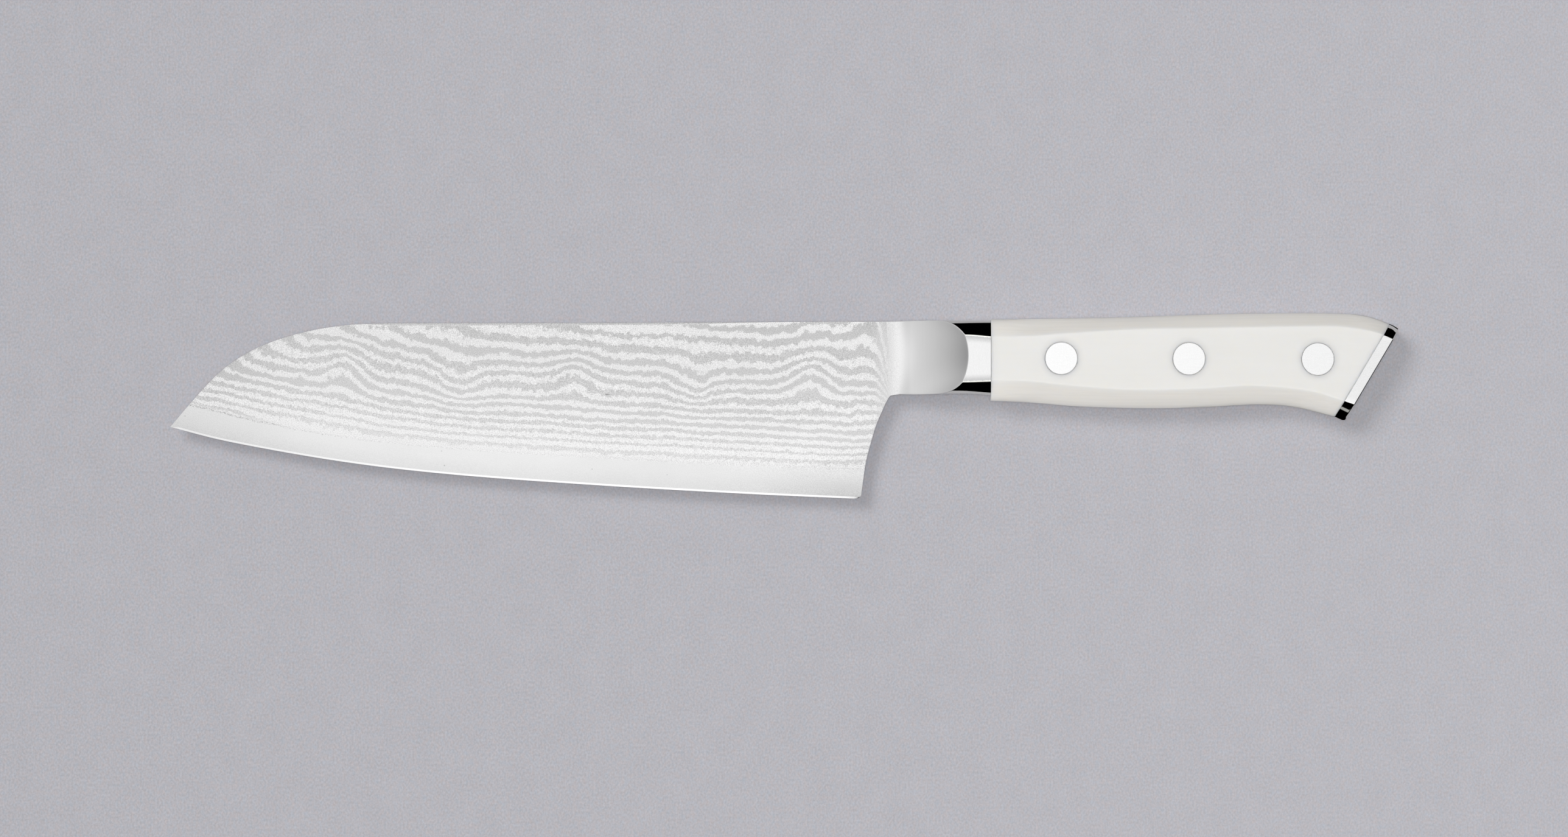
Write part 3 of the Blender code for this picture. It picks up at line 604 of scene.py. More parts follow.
def weld_specks(f, value, high, x):
    """Small dark specks in a wavy row along the weld between core and cladding."""
    wave = f.mul(f.sub(f.noise((0.42, 0.1, 0.42), 3.0, 0.6, seed=21.0), 0.5), 1.5)
    far = f.band(x, -70, -20)
    row = f.band(f.math("ABSOLUTE", f.sub(f.add(high, wave), f.mix(far, 0.15, 0.7))), f.mix(far, 0.34, 0.85), 0.05)
    tip = f.band(x, -105, -142)
    near = f.add(f.noise((2.3, 2.9, 2.3), 2.0, 0.75, seed=25.0), f.mul(tip, 0.07))
    near = f.sub(near, f.band(x, -88, -60, 0.0, 0.006))
    speck = f.mul(row, f.band(near, 0.545, 0.63))
    return f.mul(value, f.sub(1.0, f.mul(speck, f.mix(tip, f.band(x, -95, -60, 0.24, 0.17), 0.42))))


def core_tone(f, x, high):
    """The core's brightness along the blade."""
    value = f.mix(f.band(x, -112, -150), steel(238), steel(229))
    value = f.mul(value, f.sub(1.0, f.mul(f.mul(f.band(x, -60, -40), f.band(x, -8, -22)), 0.035)))
    value = f.mul(value, f.band(high, -3.5, 0.0, 1.0, 1.022))
    return f.mul(value, f.sub(1.0, f.mul(f.band(x, -25, 20, 0.0, 0.16), f.band(high, -0.2, -4.5, 0.4, 1.0))))


# ---- layered steel: etched grey and bright lines, ragged at their edges
def layered_steel():
    f = Finish("layered_steel_look", Metallic=1.0)
    lay, high = f.value("lay"), f.value("high")
    x = split_xyz(f)[0]
    wander = f.mul(f.sub(f.noise((0.32, 0.26, 0.32), 2.0, 0.5, seed=1.0), 0.5), 0.30)
    teeth = f.mul(f.sub(f.noise((0.80, 0.66, 0.80), 2.0, 0.5, seed=5.0), 0.5), 0.85)
    fray = f.mul(f.sub(f.noise((2.6, 2.6, 2.6), 2.0, 0.6, seed=9.0), 0.5), 0.26)
    calm = f.band(high, 0, 14, 0.75, 1.0)
    n = f.add(lay, f.mul(calm, f.add(wander, f.add(teeth, fray))))
    apart = f.math("ABSOLUTE", f.sub(f.math("FRACT", f.add(n, 0.5)), 0.5))
    wide = f.band(lay, 0.3, 4.5, 0.34, 0.235)
    wide = f.sub(wide, f.mul(f.band(x, -118, -138), f.band(lay, 5.5, 4.0, 0.0, 0.05)))
    wide = f.add(wide, f.mul(f.band(f.math("ABSOLUTE", f.sub(lay, 13.0)), 1.0, 0.4), f.band(f.math("ABSOLUTE", f.add(x, 34.0)), 16.0, 9.0, 0.0, 0.12)))
    wide = f.add(wide, f.mul(f.sub(f.noise((0.16, 0.45, 0.16), 2.0, 0.5, seed=3.0), 0.5), 0.16))
    grain = fine_grain(f)
    bright = f.band(f.add(f.sub(wide, apart), f.mul(grain, 0.24)), -0.07, 0.07)
    # Tone of the etched layers and of the bright ones, from the core up.
    tip, heel = f.band(x, -116, -146), f.band(x, 3, 20)
    grey = f.mix(f.band(high, 0.5, 11, soft=False), steel(226, 0.42), steel(213, 0.42))
    right = f.band(x, -10, 12, 1.0, 1.03)
    grey = f.mul(right, f.mix(f.band(high, 11, 36, soft=False), grey, steel(199, 0.42)))
    grey = f.mul(grey, f.sub(1.0, f.add(f.mul(tip, 0.15), f.mul(heel, f.band(high, 10, 0, 0.0, 0.12)))))
    white = f.mul(right, f.mix(f.band(high, 0, 24, soft=False), steel(246), steel(234)))
    white = f.mul(white, f.sub(1.0, f.add(f.mul(tip, 0.05), f.mul(heel, f.band(high, 10, 0, 0.0, 0.10)))))
    cloud = f.sub(f.noise((0.11, 0.2, 0.11), 3.0, 0.5, seed=15.0), 0.5)
    value = f.mix(bright, grey, white)
    value = f.mix(f.mul(f.band(f.add(high, f.mul(teeth, 1.2)), 1.5, 0.2), 0.9), value, core_tone(f, x, high))
    value = f.mul(value, f.add(1.0, f.add(f.mul(grain, 1.25), f.mul(cloud, 0.05))))
    value = weld_specks(f, value, high, x)
    value = spots(f, value, [(-44.0, 3.0, 0.6, 0.2, 0.42), (-94.5, 5.3, 0.3, 0.25, 0.18), (14.4, 11.9, 0.5, 0.3, 0.15)])
    rough = f.add(f.mix(bright, 0.42, 0.36), f.mul(grain, 0.12))
    # The lines fade into the frosted neck.
    neck = f.band(f.add(x, f.mul(grain, 0.8)), 21.8, 24.4, 0.0, 0.58)
    neck = f.add(neck, f.band(x, 25.4, 26.4, 0.0, 0.42))
    level, even = frosted(f, grain, x)
    value, rough = f.mix(neck, value, level), f.mix(neck, rough, even)
    normal = f.bump(f.add(f.mul(f.mul(bright, f.sub(1.0, neck)), 0.5), f.mul(grain, 0.6)), 0.012)
    f.set(Base_Color=f.grey(value, (1.0, 0.996, 0.998)), Roughness=rough, Normal=normal)
    return f.material


# ---- hard core: even satin, a little darker towards the tip and the heel
def core_steel():
    f = Finish("core_steel_look", Metallic=1.0)
    up = f.value("high")
    edge = f.value("edge")
    x = split_xyz(f)[0]
    value = core_tone(f, x, up)
    value = f.mix(f.band(edge, 0.5, 4.5), f.mul(value, 0.945), value)
    grain = f.sub(f.noise((4.5, 4.5, 4.5), 2.0, 0.7, seed=31.0), 0.5)
    haze = f.sub(f.noise((0.12, 0.25, 0.12), 3.0, 0.5, seed=33.0), 0.5)
    strong = f.add(f.band(x, -30, 12, 0.32, 0.85), f.band(x, -110, -148, 0.0, 0.22))
    value = f.mul(value, f.add(1.0, f.add(f.mul(grain, strong), f.mul(haze, 0.06))))
    value = weld_specks(f, value, up, x)
    value = spots(
        f,
        value,
        [(-85.3, -11.1, 0.2, 0.17, 0.22), (-84.6, -14.7, 0.2, 0.18, 0.33), (-47.8, -15.6, 0.18, 0.15, 0.28), (-29.1, -17.0, 0.2, 0.15, 0.2), (-149.2, -2.4, 0.25, 0.2, 0.15), (5.8, -17.4, 0.18, 0.14, 0.18)],
    )
    rough = f.add(0.36, f.mul(grain, 0.1))
    f.set(Base_Color=f.grey(value), Roughness=rough, Normal=f.bump(grain, 0.006))
    return f.material


def honed_edge():
    f = Finish("honed_edge_look", Metallic=1.0)
    lines = f.sub(f.noise((0.8, 9.0, 9.0), 2.0, 0.6, turn=(0, 0, math.radians(70)), seed=41.0), 0.5)
    value = f.add(0.985, f.mul(lines, 0.03))
    f.set(Base_Color=f.grey(value), Roughness=f.add(0.24, f.mul(lines, 0.2)))
    return f.material


# ---- satin hollow of the bolster: frosted like the blade at its front
def satin_hollow():
    f = Finish("satin_hollow_look", Metallic=1.0)
    x = split_xyz(f)[0]
    grain = fine_grain(f)
    frost = f.band(f.add(x, f.mul(grain, 2.0)), 31.5, 27.6)
    brush = f.sub(f.noise((4.5, 0.06, 0.06), 2.0, 0.6, seed=51.0), 0.5)
    fine = f.sub(f.noise((16.0, 0.25, 0.25), 2.0, 0.6, seed=53.0), 0.5)
    lines = f.add(f.mul(brush, 0.05), f.mul(fine, 0.05))
    level, even = frosted(f, grain, x)
    value = f.mix(frost, f.mul(0.855, f.add(1.0, lines)), level)
    rough = f.mix(frost, f.add(0.30, f.mul(lines, 0.5)), even)
    normal = f.bump(f.mul(f.sub(1.0, frost), f.add(f.mul(brush, 0.7), f.mul(fine, 0.3))), 0.006)
    normal = f.bump(f.mul(frost, grain), 0.0072, after=normal)
    f.set(Base_Color=f.grey(value, (1.0, 0.998, 0.999)), Roughness=rough, Normal=normal)
    return f.material


# ---- mirror-polished shoulders round a finely brushed flat
def polished(name, seed, tone, crease_shading, coarse, fine):
    f = Finish(name, Metallic=1.0)
    inward = f.value("inward")
    stray = f.sub(f.noise((2.5, 2.5, 2.5), 2.0, 0.7, seed=seed), 0.5)
    flat = f.band(f.add(inward, f.mul(stray, 0.5)), -0.06, 0.1)
    brush = f.sub(f.noise(coarse, 3.0, 0.6, seed=seed + 2), 0.5)
    fine = f.sub(f.noise(fine, 2.0, 0.6, seed=seed + 4), 0.5)
    lines = f.add(f.mul(brush, 0.12), f.mul(fine, 0.14))
    # Painted shade: the brushed flat is drawn darker towards its creases on the bolster and a little lighter on the
    # cap, standing in for the shading of a crowned flat.
    crease_shaded = f.band(inward, 0.0, 1.9, crease_shading, 1.0)
    brushed = f.grey(f.mul(f.mul(tone, crease_shaded), f.add(1.0, lines)))
    colour = f.tint(flat, (0.795, 0.795, 0.748, 1), brushed)
    rough = f.mix(flat, 0.045, f.add(0.27, f.mul(lines, 0.5)))
    f.set(Base_Color=colour, Roughness=rough, Normal=f.bump(f.mul(flat, fine), 0.004))
    return f.material


def gap_shade():
    """Painted shade: faces that are closed in by their neighbours are drawn near black, standing in for the shade in
    the narrow gaps between parts.
    """
    f = Finish("glue_line_look")
    tone = f.noise((0.8, 0.8, 0.8), 3.0, 0.6, seed=55.0)
    f.set(Base_Color=f.grey(f.band(tone, 0.3, 0.7, 0.02, 0.05), (1.0, 0.9, 0.75)), Roughness=f.band(tone, 0.3, 0.7, 0.6, 0.8))
    return f.material


def rivet_steel():
    f = Finish("rivet_steel_look", Metallic=1.0)
    brush = f.sub(f.noise((0.35, 5.0, 0.35), 3.0, 0.6, seed=61.0), 0.5)
    cross = f.sub(f.noise((5.0, 0.5, 0.5), 2.0, 0.6, seed=63.0), 0.5)
    lines = f.add(f.mul(brush, 0.15), f.mul(cross, 0.05))
    value = f.mul(0.945, f.add(1.0, lines))
    f.set(Base_Color=f.grey(value), Roughness=f.add(0.27, f.mul(lines, 0.6)), Normal=f.bump(brush, 0.004))
    return f.material


# ---- white resin composite
def white_composite():
    f = Finish(
        "white_composite_look",
        Metallic=0.0,
        IOR=1.5,
        Subsurface_Weight=1.0,
        Subsurface_Scale=0.0016,
        Subsurface_Radius=(1.0, 0.95, 0.85),
    )
    cloud = f.sub(f.noise((0.05, 0.12, 0.12), 3.0, 0.5, seed=71.0), 0.5)
    streak = f.sub(f.noise((0.03, 1.2, 1.2), 3.0, 0.6, seed=73.0), 0.5)
    tone = f.add(f.mul(cloud, 0.9), f.mul(streak, 0.3))
    colour = f.tint(f.band(tone, -0.35, 0.35), (0.842, 0.832, 0.802, 1), (0.866, 0.860, 0.840, 1))
    x, y, z = split_xyz(f)
    # Painted light: the sloped shoulders get a warmer white than the flat, standing in for warmer light falling on
    # them.
    slant = f.band(f.math("ABSOLUTE", f.sub(z, HANDLE_HALF)), 7.46, 6.6)
    colour = f.tint(slant, colour, (0.880, 0.857, 0.815, 1))
    rub = f.mul(f.band(f.noise((0.02, 1.6, 1.6), 3.0, 0.6, seed=77.0), 0.3, 0.7), f.mul(slant, 0.14))
    colour = f.tint(rub, colour, (0.62, 0.60, 0.56, 1))
    # Painted shade: a soft darker ring round each rivet seat, standing in for the shadow where the scale meets the
    # head.
    for cx, cy in RIVETS.values():
        u, v = f.sub(x, cx + PLACE[0]), f.sub(y, cy + PLACE[1])
        away = f.math("SQRT", f.add(f.mul(u, u), f.mul(v, v)))
        colour = f.tint(f.band(away, 4.0, 5.9, 0.20, 0.0), colour, (0.60, 0.585, 0.57, 1))
    scuff = f.noise((0.3, 2.4, 2.4), 3.0, 0.6, seed=75.0)
    rough = f.band(scuff, 0.3, 0.7, 0.235, 0.27)
    f.set(Base_Color=colour, Roughness=rough, Normal=f.bump(f.add(streak, cloud), 0.004))
    return f.material


LAYERED, CORE, HONED = layered_steel(), core_steel(), honed_edge()
HOLLOW, POLISHED = satin_hollow(), polished("bolster_steel_look", 81.0, 0.86, 0.68, (2.2, 0.12, 2.2), (14.0, 0.5, 14.0))
CAP_STEEL = polished("cap_steel_look", 91.0, 0.90, 1.06, (0.35, 2.6, 2.6), (0.6, 9.0, 9.0))
RIVET_STEEL, WHITE, GAP_SHADE = rivet_steel(), white_composite(), gap_shade()


# ------------------------------------------------------------------ cladding
def cladding(side):
    head = [core_run[:-1], heel_high[:-1], np.array([heel_end])]
    tail = [spine_run[::-1], foot_high[::-1][1:-1]]
    ring = np.vstack([*head, *behind, *tail])
    ring[-1] = ring[-1]
    rounded = np.zeros(len(ring))
    start = len(core_run) - 1
    rounded[start : start + len(heel_high)] = 1
    rounded[len(ring) - sum(len(t) for t in tail) :] = 1
    rounded[start] = 0.0
    # The spine has a flat bevel that runs out towards both ends.
    spine = (rounded > 0) & (ring[:, 1] > 15)
    bevel = ramp(ring[:, 0], -108, -97) * ramp(-ring[:, 0], -6, 34) * spine
    ease = np.where(ring[:, 1] > 15, FINE_EASE + (EASE - FINE_EASE) * ramp(ring[:, 0], 8, 24), FINE_EASE + (EASE - FINE_EASE) * ramp(ring[:, 0], 25.6, SEAM))
    width = rounded * (ease + (0.62 - ease) * bevel)
    drop = rounded * (ease + (0.25 - ease) * bevel)
    inner = eased(ring, width)
    seam_at = np.abs(ring[:, 0] - SEAM) < 1e-9
    inner[seam_at, 0] = SEAM
    for k in np.nonzero(seam_at & (rounded > 0))[0]:
        inner[k, 1] = ring[k, 1] + math.copysign(EASE, 12 - ring[k, 1])
    shell = Shell()
    points, faces = fill([inner, *tang_holes], 0.5, [seam_line[1:-1]])
    height = blank_height(points)
    height[np.abs(points[:, 0] - SEAM) < 1e-6] = half_thickness(SEAM, points[np.abs(points[:, 0] - SEAM) < 1e-6, 1])
    shell.add(np.column_stack([points, height]), faces)
    top = blank_height(ring)
    for k in np.nonzero(np.abs(ring[:, 0] - SEAM) < 1e-6)[0]:
        top[k] = half_thickness(SEAM, ring[k, 1])
    # The rounding from the side's face to the outline.
    face = blank_height(inner)
    for k in np.nonzero(np.abs(inner[:, 0] - SEAM) < 1e-6)[0]:
        face[k] = half_thickness(SEAM, inner[k, 1])
    start3 = np.column_stack([inner, face])
    corner3 = np.column_stack([ring, top])
    end3 = np.column_stack([ring, top - drop])
    corner3 = corner3 + ((start3 + end3) / 2 - corner3) * (0.8 * bevel)[:, None]
    rows = [(1 - t) ** 2 * start3 + 2 * t * (1 - t) * corner3 + t * t * end3 for t in np.linspace(0, 1, 5)]
    low = np.column_stack([ring, np.full(len(ring), CORE_HALF + 0.004)])
    rows += [end3 * (1 - t) + low * t for t in (0.34, 0.67, 1.0)]
    rows = np.array(rows)
    rows = np.concatenate([rows, rows[:, :1]], axis=1)
    shell.grid(rows)
    points, faces = fill([ring, *tang_holes])
    shell.add(np.column_stack([points, np.full(len(points), CORE_HALF + 0.004)]), faces)
    for hole in tang_holes:
        up = np.column_stack([hole, np.full(len(hole), TANG_HALF)])
        down = np.column_stack([hole, np.full(len(hole), CORE_HALF + 0.004)])
        shell.grid(np.concatenate([[up, down], [[up[0]], [down[0]]]], axis=1))
    name = "layered_steel_left" if side > 0 else "layered_steel_right"
    obj = shell.build(
        name,
        [LAYERED],
        flip=side < 0,
        attributes={
            "lay": lambda p: layer_count(p, side),
            "high": lambda p: p[:, 1] - core_height(p[:, 0]),
        },
        sharp=12.0,
    )
    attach(obj, "root")
    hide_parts("cladding_left" if side > 0 else "cladding_right")


cladding(1)
cladding(-1)


# ---------------------------------------------------------------- blade core
def edge_half(x, y):
    """Half the thickness of the edge zone, which is ground a little convex towards the edge."""
    edge_y = np.interp(x, edge_line[:, 0], edge_line[:, 1])
    up = np.clip(y - edge_y, 0, None)
    return half_thickness(x, y) - (half_thickness(x, edge_y) - 0.045) * np.exp(-up / 1.3)


def core():
    # The cutting edge, and the crease where the bevel meets the side of the blade.
    edge = np.vstack([edge_line[:-1], corner_line])
    ahead = np.gradient(edge, axis=0)
    ahead /= np.linalg.norm(ahead, axis=1)[:, None]
    inward = np.column_stack([-ahead[:, 1], ahead[:, 0]])
    reach = np.full(len(edge), BEVEL_WIDTH)
    turned = np.clip((np.arange(len(edge)) - (len(edge_line) - 1)) / (len(corner_line) - 1), 0, 1)
    taper = np.clip(np.arange(len(edge)) / 3.0, 0, 1) * np.clip(1 - turned / 0.55, 0, 1)
    crease = edge + inward * (reach * taper)[:, None]
    right = heel_low[1:]
    zone = np.vstack([crease, right, core_run[::-1][1:-1], foot_low[::-1][:-1]])
    points, faces = fill([zone], 0.8)
    shell = Shell()
    side_z = edge_half(points[:, 0], points[:, 1])
    shell.add(np.column_stack([points, side_z]), faces, 0)
    # The bevel, from its crease to the keen edge.
    crease3 = np.column_stack([crease, edge_half(crease[:, 0], crease[:, 1])])
    keen3 = np.column_stack([edge, KEEN_HALF + (crease3[:, 2] - KEEN_HALF) * turned**2])
    keen3[0, 2] = crease3[0, 2]
    keen3[-1, 2] = crease3[-1, 2]
    shell.grid([crease3 * (1 - t) + keen3 * t for t in (0, 0.34, 0.67, 1)], 1)
    level3 = keen3 * [1, 1, 0.5]
    level3[0, 2] = level3[-1, 2] = 0.1
    shell.grid([keen3, level3, keen3 * [1, 1, 0]], 1)
    # Outer walls of the edge zone, from its side down to the middle plane.
    walls = np.vstack([edge[-1:], right])
    up = np.column_stack([walls, edge_half(walls[:, 0], walls[:, 1])])
    level = up.copy()
    level[:, 2] = 0.1
    level[-1, 2] = CORE_HALF
    shell.grid([up, level, level * [1, 1, 0]])
    walls = np.vstack([foot_low])
    up = np.column_stack([walls, edge_half(walls[:, 0], walls[:, 1])])
    level = up.copy()
    level[:, 2] = 0.1
    level[-1, 2] = CORE_HALF
    shell.grid([up, level, level * [1, 1, 0]])
    # The step down to the thin plate between the claddings.
    up = np.column_stack([core_run, edge_half(core_run[:, 0], core_run[:, 1])])
    down = up.copy()
    down[:, 2] = CORE_HALF
    shell.grid([up, down])
    # The thin plate, through the bolster and the whole tang.
    tail = [spine_run[::-1], foot_high[::-1][1:-1]]
    ring = np.vstack([core_run[:-1], heel_high[:-1], [heel_end], *behind, *tail])
    points, faces = fill([ring, *tang_holes])
    shell.add(np.column_stack([points, np.full(len(points), CORE_HALF)]), faces)
    outer = np.vstack([ring[len(core_run) - 1 :], ring[:1]])
    up = np.column_stack([outer, np.full(len(outer), CORE_HALF)])
    shell.grid([up, up * [1, 1, 0]])
    for hole in tang_holes:
        up = np.column_stack([hole, np.full(len(hole), CORE_HALF)])
        down = up * [1, 1, 0]
        shell.grid(np.concatenate([[up, down], [[up[0]], [down[0]]]], axis=1))
    shell.mirrored()
    edge_points = edge_line

    def from_edge(p):
        return np.clip(p[:, 1] - np.interp(p[:, 0], edge_points[:, 0], edge_points[:, 1]), 0, None)

    obj = shell.build(
        "core_steel_blade",
        [CORE, HONED],
        attributes={"high": lambda p: p[:, 1] - core_height(p[:, 0]), "edge": from_edge},
        sharp=12.0,
    )
    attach(obj, "root")
    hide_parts("blade_core")


core()


# ------------------------------------------------------------------ sections
def bend(count, outline, crease, x):
    """Shoulder from the upright side to the flat: count points of (y, z)."""
    away = np.sign(outline - crease)
    width = abs(outline - crease)
    # It leaves the crease more gently on the bolster than on the scales.
    grip = float(ramp(x, 51.0, 64.0))
    tilt = math.radians(20 + (21 if away > 0 else 12) * grip)
    reach = 0.78 - (0.28 if away > 0 else 0.38) * grip
    foot = SIDE_HALF + 0.4 * float(ramp(x, 38.0, 50.0)) * (1 - grip) + (0.4 if away > 0 else -0.4) * grip
    start = np.array([outline, foot])
    end = np.array([crease, HANDLE_HALF])
    second = end + [away * reach * width, -math.tan(tilt) * reach * width]
    first = np.array([outline, foot + 2.1 - (1.3 if away > 0 else 0.9) * grip])
    t = np.linspace(0, 1, count)[:, None]
    s = 1 - t
    return s**3 * start + 3 * s * s * t * first + 3 * s * t * t * second + t**3 * end


def half_section(x, top, bottom, crease_top, crease_bottom, z_low, low_rows, turns, flat_rows):
    """From z_low on the bottom edge, over the side, to z_low on the top edge: points of (y, z)."""
    parts = []
    for outline, crease in ((bottom, crease_bottom), (top, crease_top)):
        arc = bend(turns, outline, crease, x)
        band = np.column_stack([np.full(low_rows, outline), np.linspace(z_low, arc[0, 1], low_rows, endpoint=False)])
        # A small rounding takes the place of the crease itself.
        arc[-1] = arc[-1]
        back = arc[-2] + (arc[-1] - arc[-2]) * 0.0
        cut = arc[-1] + (back - arc[-1]) / np.linalg.norm(back - arc[-1]) * 0.3
        flat = arc[-1] + np.array([np.sign(crease - outline) * 0.3, 0])
        t = np.linspace(0, 1, 5)[:, None]
        rounding = (1 - t) ** 2 * cut + 2 * t * (1 - t) * arc[-1] + t * t * flat
        parts.append(np.vstack([band, arc[:-2], rounding]))
    lower, upper = parts
    y = np.linspace(lower[-1, 0], upper[-1, 0], flat_rows + 1)[1:-1]
    middle = np.column_stack([y, np.full(len(y), HANDLE_HALF)])
    return np.vstack([lower, middle, upper[::-1]])


class Side:
    """The outer surface of the handle or the bolster: a row of sections, looked up at any x."""

    def __init__(self, low, high, step, rule):
        self.x = np.linspace(low, high, int(round((high - low) / step)) + 1)
        self.rings = np.array([rule(x) for x in self.x])
        self.count = self.rings.shape[1]

    def at(self, k, x):
        """Points of row k at each x."""
        x = np.atleast_1d(x)
        y = np.interp(x, self.x, self.rings[:, k, 0])
        z = np.interp(x, self.x, self.rings[:, k, 1])
        return np.column_stack([x, y, z])

    def to_plane(self, k, distance, low=100.0, high=158.0):
        """x where row k meets the leaning plane."""
        for _ in range(48):
            mid = (low + high) / 2
            point = self.at(k, mid)[0]
            if point[0] * NORMAL[0] + point[1] * NORMAL[1] > distance:
                high = mid
            else:
                low = mid
        return (low + high) / 2


def handle_rule(z_low):
    return lambda x: half_section(
        x,
        float(along(HANDLE_TOP, x)),
        float(along(HANDLE_BOTTOM, x)),
        float(along(CREASE_TOP, x)),
        float(along(CREASE_BOTTOM, x)),
        z_low,
        3,
        20,
        14,
    )


# ------------------------------------------------------------------- bolster
def hollow(x, y):
    """Height of the hollowed neck over the middle plane, running out of the blade's own side."""
    u = np.clip(x - 28.0 + SCOOP_BOW * (y - SCOOP_MIDDLE) ** 2, 0, 24)
    floor_z = half_thickness(31.0, y) + 0.12
    rise = HANDLE_HALF - floor_z
    radius = (SCOOP_LENGTH**2 + rise**2) / (2 * rise)
    wheel = floor_z + radius - np.sqrt(radius**2 - u * u)
    ground = half_thickness(x, y)
    return ground + (wheel - ground) * ramp(x, SEAM, 31.5)


def neck_top(x):
    x = np.asarray(x, float)
    spine = along(SPINE, np.minimum(x, 28.0))
    return np.where(x < 28.0, spine, along(NECK_TOP, np.maximum(x, 28.0)))


def neck_bottom(x):
    x = np.asarray(x, float)
    heel = along(HEEL, np.minimum(x, 28.4))
    neck = along(NECK_BOTTOM, np.maximum(x, 28.4))
    return np.where(x < 28.4, heel, neck)


def bolster():
    def rule(x):
        return half_section(x, float(neck_top(x)), float(neck_bottom(x)), float(along(BOLSTER_HIGH, x)), float(along(BOLSTER_LOW, x)), 0.0, 3, 26, 26)

    side = Side(SEAM, BOLSTER_BACK, 0.25, rule)
    rows = []
    start_low = half_thickness(SEAM, heel_end[1])
    start_high = half_thickness(SEAM, spine_end[1])
    base = side.rings[0]
    # Rows on the upright edges are spread anew, with one through each end of the rim.
    middle = [k for k in range(side.count) if base[k, 1] >= SIDE_HALF - 1e-6]
    low_z = [0.0, 0.22, 0.44, start_low, *np.linspace(start_low, SIDE_HALF, 14)[1:-1]]
    high_z = [0.0, 0.32, 0.64, start_high, *np.linspace(start_high, SIDE_HALF, 14)[1:-1]]
    rows += [("low", z) for z in low_z]
    rows += [("row", k) for k in middle]
    rows += [("high", z) for z in high_z[::-1]]

    def surface(row, x):
        kind, value = row
        x = np.atleast_1d(np.asarray(x, float))
        if kind == "row":
            return side.at(value, x)
        y = neck_bottom(x) if kind == "low" else neck_top(x)
        return np.column_stack([x, y, np.full(len(x), value)])

    def rim_x(row):
        low, high = SEAM, 50.0
        point = surface(row, low)[0]
        if hollow(point[0], point[1]) >= point[2] - 1e-9:
            return SEAM
        for _ in range(50):
            mid = (low + high) / 2
            point = surface(row, mid)[0]
            if hollow(point[0], point[1]) > point[2]:
                high = mid
            else:
                low = mid
        return (low + high) / 2

    rim = np.array([rim_x(r) for r in rows])
    first = low_z.index(start_low)
    last = len(rows) - 1 - first
    edge = np.array([surface(r, x)[0] for r, x in zip(rows, rim)])[first : last + 1]
    tangent = np.gradient(edge, axis=0)
    tangent /= np.linalg.norm(tangent, axis=1)[:, None]

    def slope_normal(x, y, d=0.02):
        gx = (hollow(x + d, y) - hollow(x - d, y)) / (2 * d)
        gy = (hollow(x, y + d) - hollow(x, y - d)) / (2 * d)
        n = np.column_stack([-gx, -gy, np.ones(len(gx))])
        return n / np.linalg.norm(n, axis=1)[:, None]

    outer_n = []
    for k in range(first, last + 1):
        x = rim[k]
        before = surface(rows[max(k - 1, 0)], x)[0]
        after = surface(rows[min(k + 1, len(rows) - 1)], x)[0]
        across = after - before
        run = surface(rows[k], x + 0.2)[0] - surface(rows[k], x)[0]
        n = np.cross(run, across)
        outer_n.append(n / np.linalg.norm(n))
    outer_n = np.array(outer_n)
    scoop_n = slope_normal(edge[:, 0], edge[:, 1])
    away = np.cross(tangent, outer_n)
    away /= np.linalg.norm(away, axis=1)[:, None]
    # Away from the hollow is towards the handle on top and down the upright edges.
    flip = np.einsum("ij,ij->i", away, scoop_n) > 0
    away[flip] *= -1
    into = np.cross(tangent, scoop_n)
    into /= np.linalg.norm(into, axis=1)[:, None]
    flip = np.einsum("ij,ij->i", into, outer_n) > 0
    into[flip] *= -1
    outside = edge + away * EASE
    inner = edge + into * EASE
    # Both ends meet the blade's own rounding.
    outside[0] = (SEAM, heel_end[1], start_low - EASE)
    outside[-1] = (SEAM, spine_end[1], start_high - EASE)
    inner[0] = (SEAM, heel_end[1] + EASE, 0)
    inner[-1] = (SEAM, spine_end[1] - EASE, 0)
    inner[:, 0] = np.maximum(inner[:, 0], SEAM)
    inner[:, 2] = hollow(inner[:, 0], inner[:, 1])
    shell = Shell()
    shell.grid([(1 - t) ** 2 * inner + 2 * t * (1 - t) * edge + t * t * outside for t in np.linspace(0, 1, 5)], 0)

    # The polished and brushed outside, from the rim back to the scales.
    share = np.linspace(0, 1, 34) ** 1.15
    outer_rows = []
    for k, row in enumerate(rows):
        if first <= k <= last:
            begin = outside[k - first]
        else:
            begin = surface(row, SEAM)[0]
        x0 = begin[0]
        xs = x0 + (BOLSTER_BACK - x0) * share
        line = surface(row, xs)
        line += (begin - line[0]) * ((1 - share) ** 3)[:, None]
        outer_rows.append(line)
    shell.grid(outer_rows, 1)

    # The hollow itself.
    count = 34
    left = np.column_stack([np.full(count, SEAM), np.linspace(inner[-1, 1], inner[0, 1], count + 2)[1:-1]])
    ring = np.vstack([inner[:, :2], left])
    points, faces = fill([ring], 0.45)
    shell.add(np.column_stack([points, hollow(points[:, 0], points[:, 1])]), faces, 0)

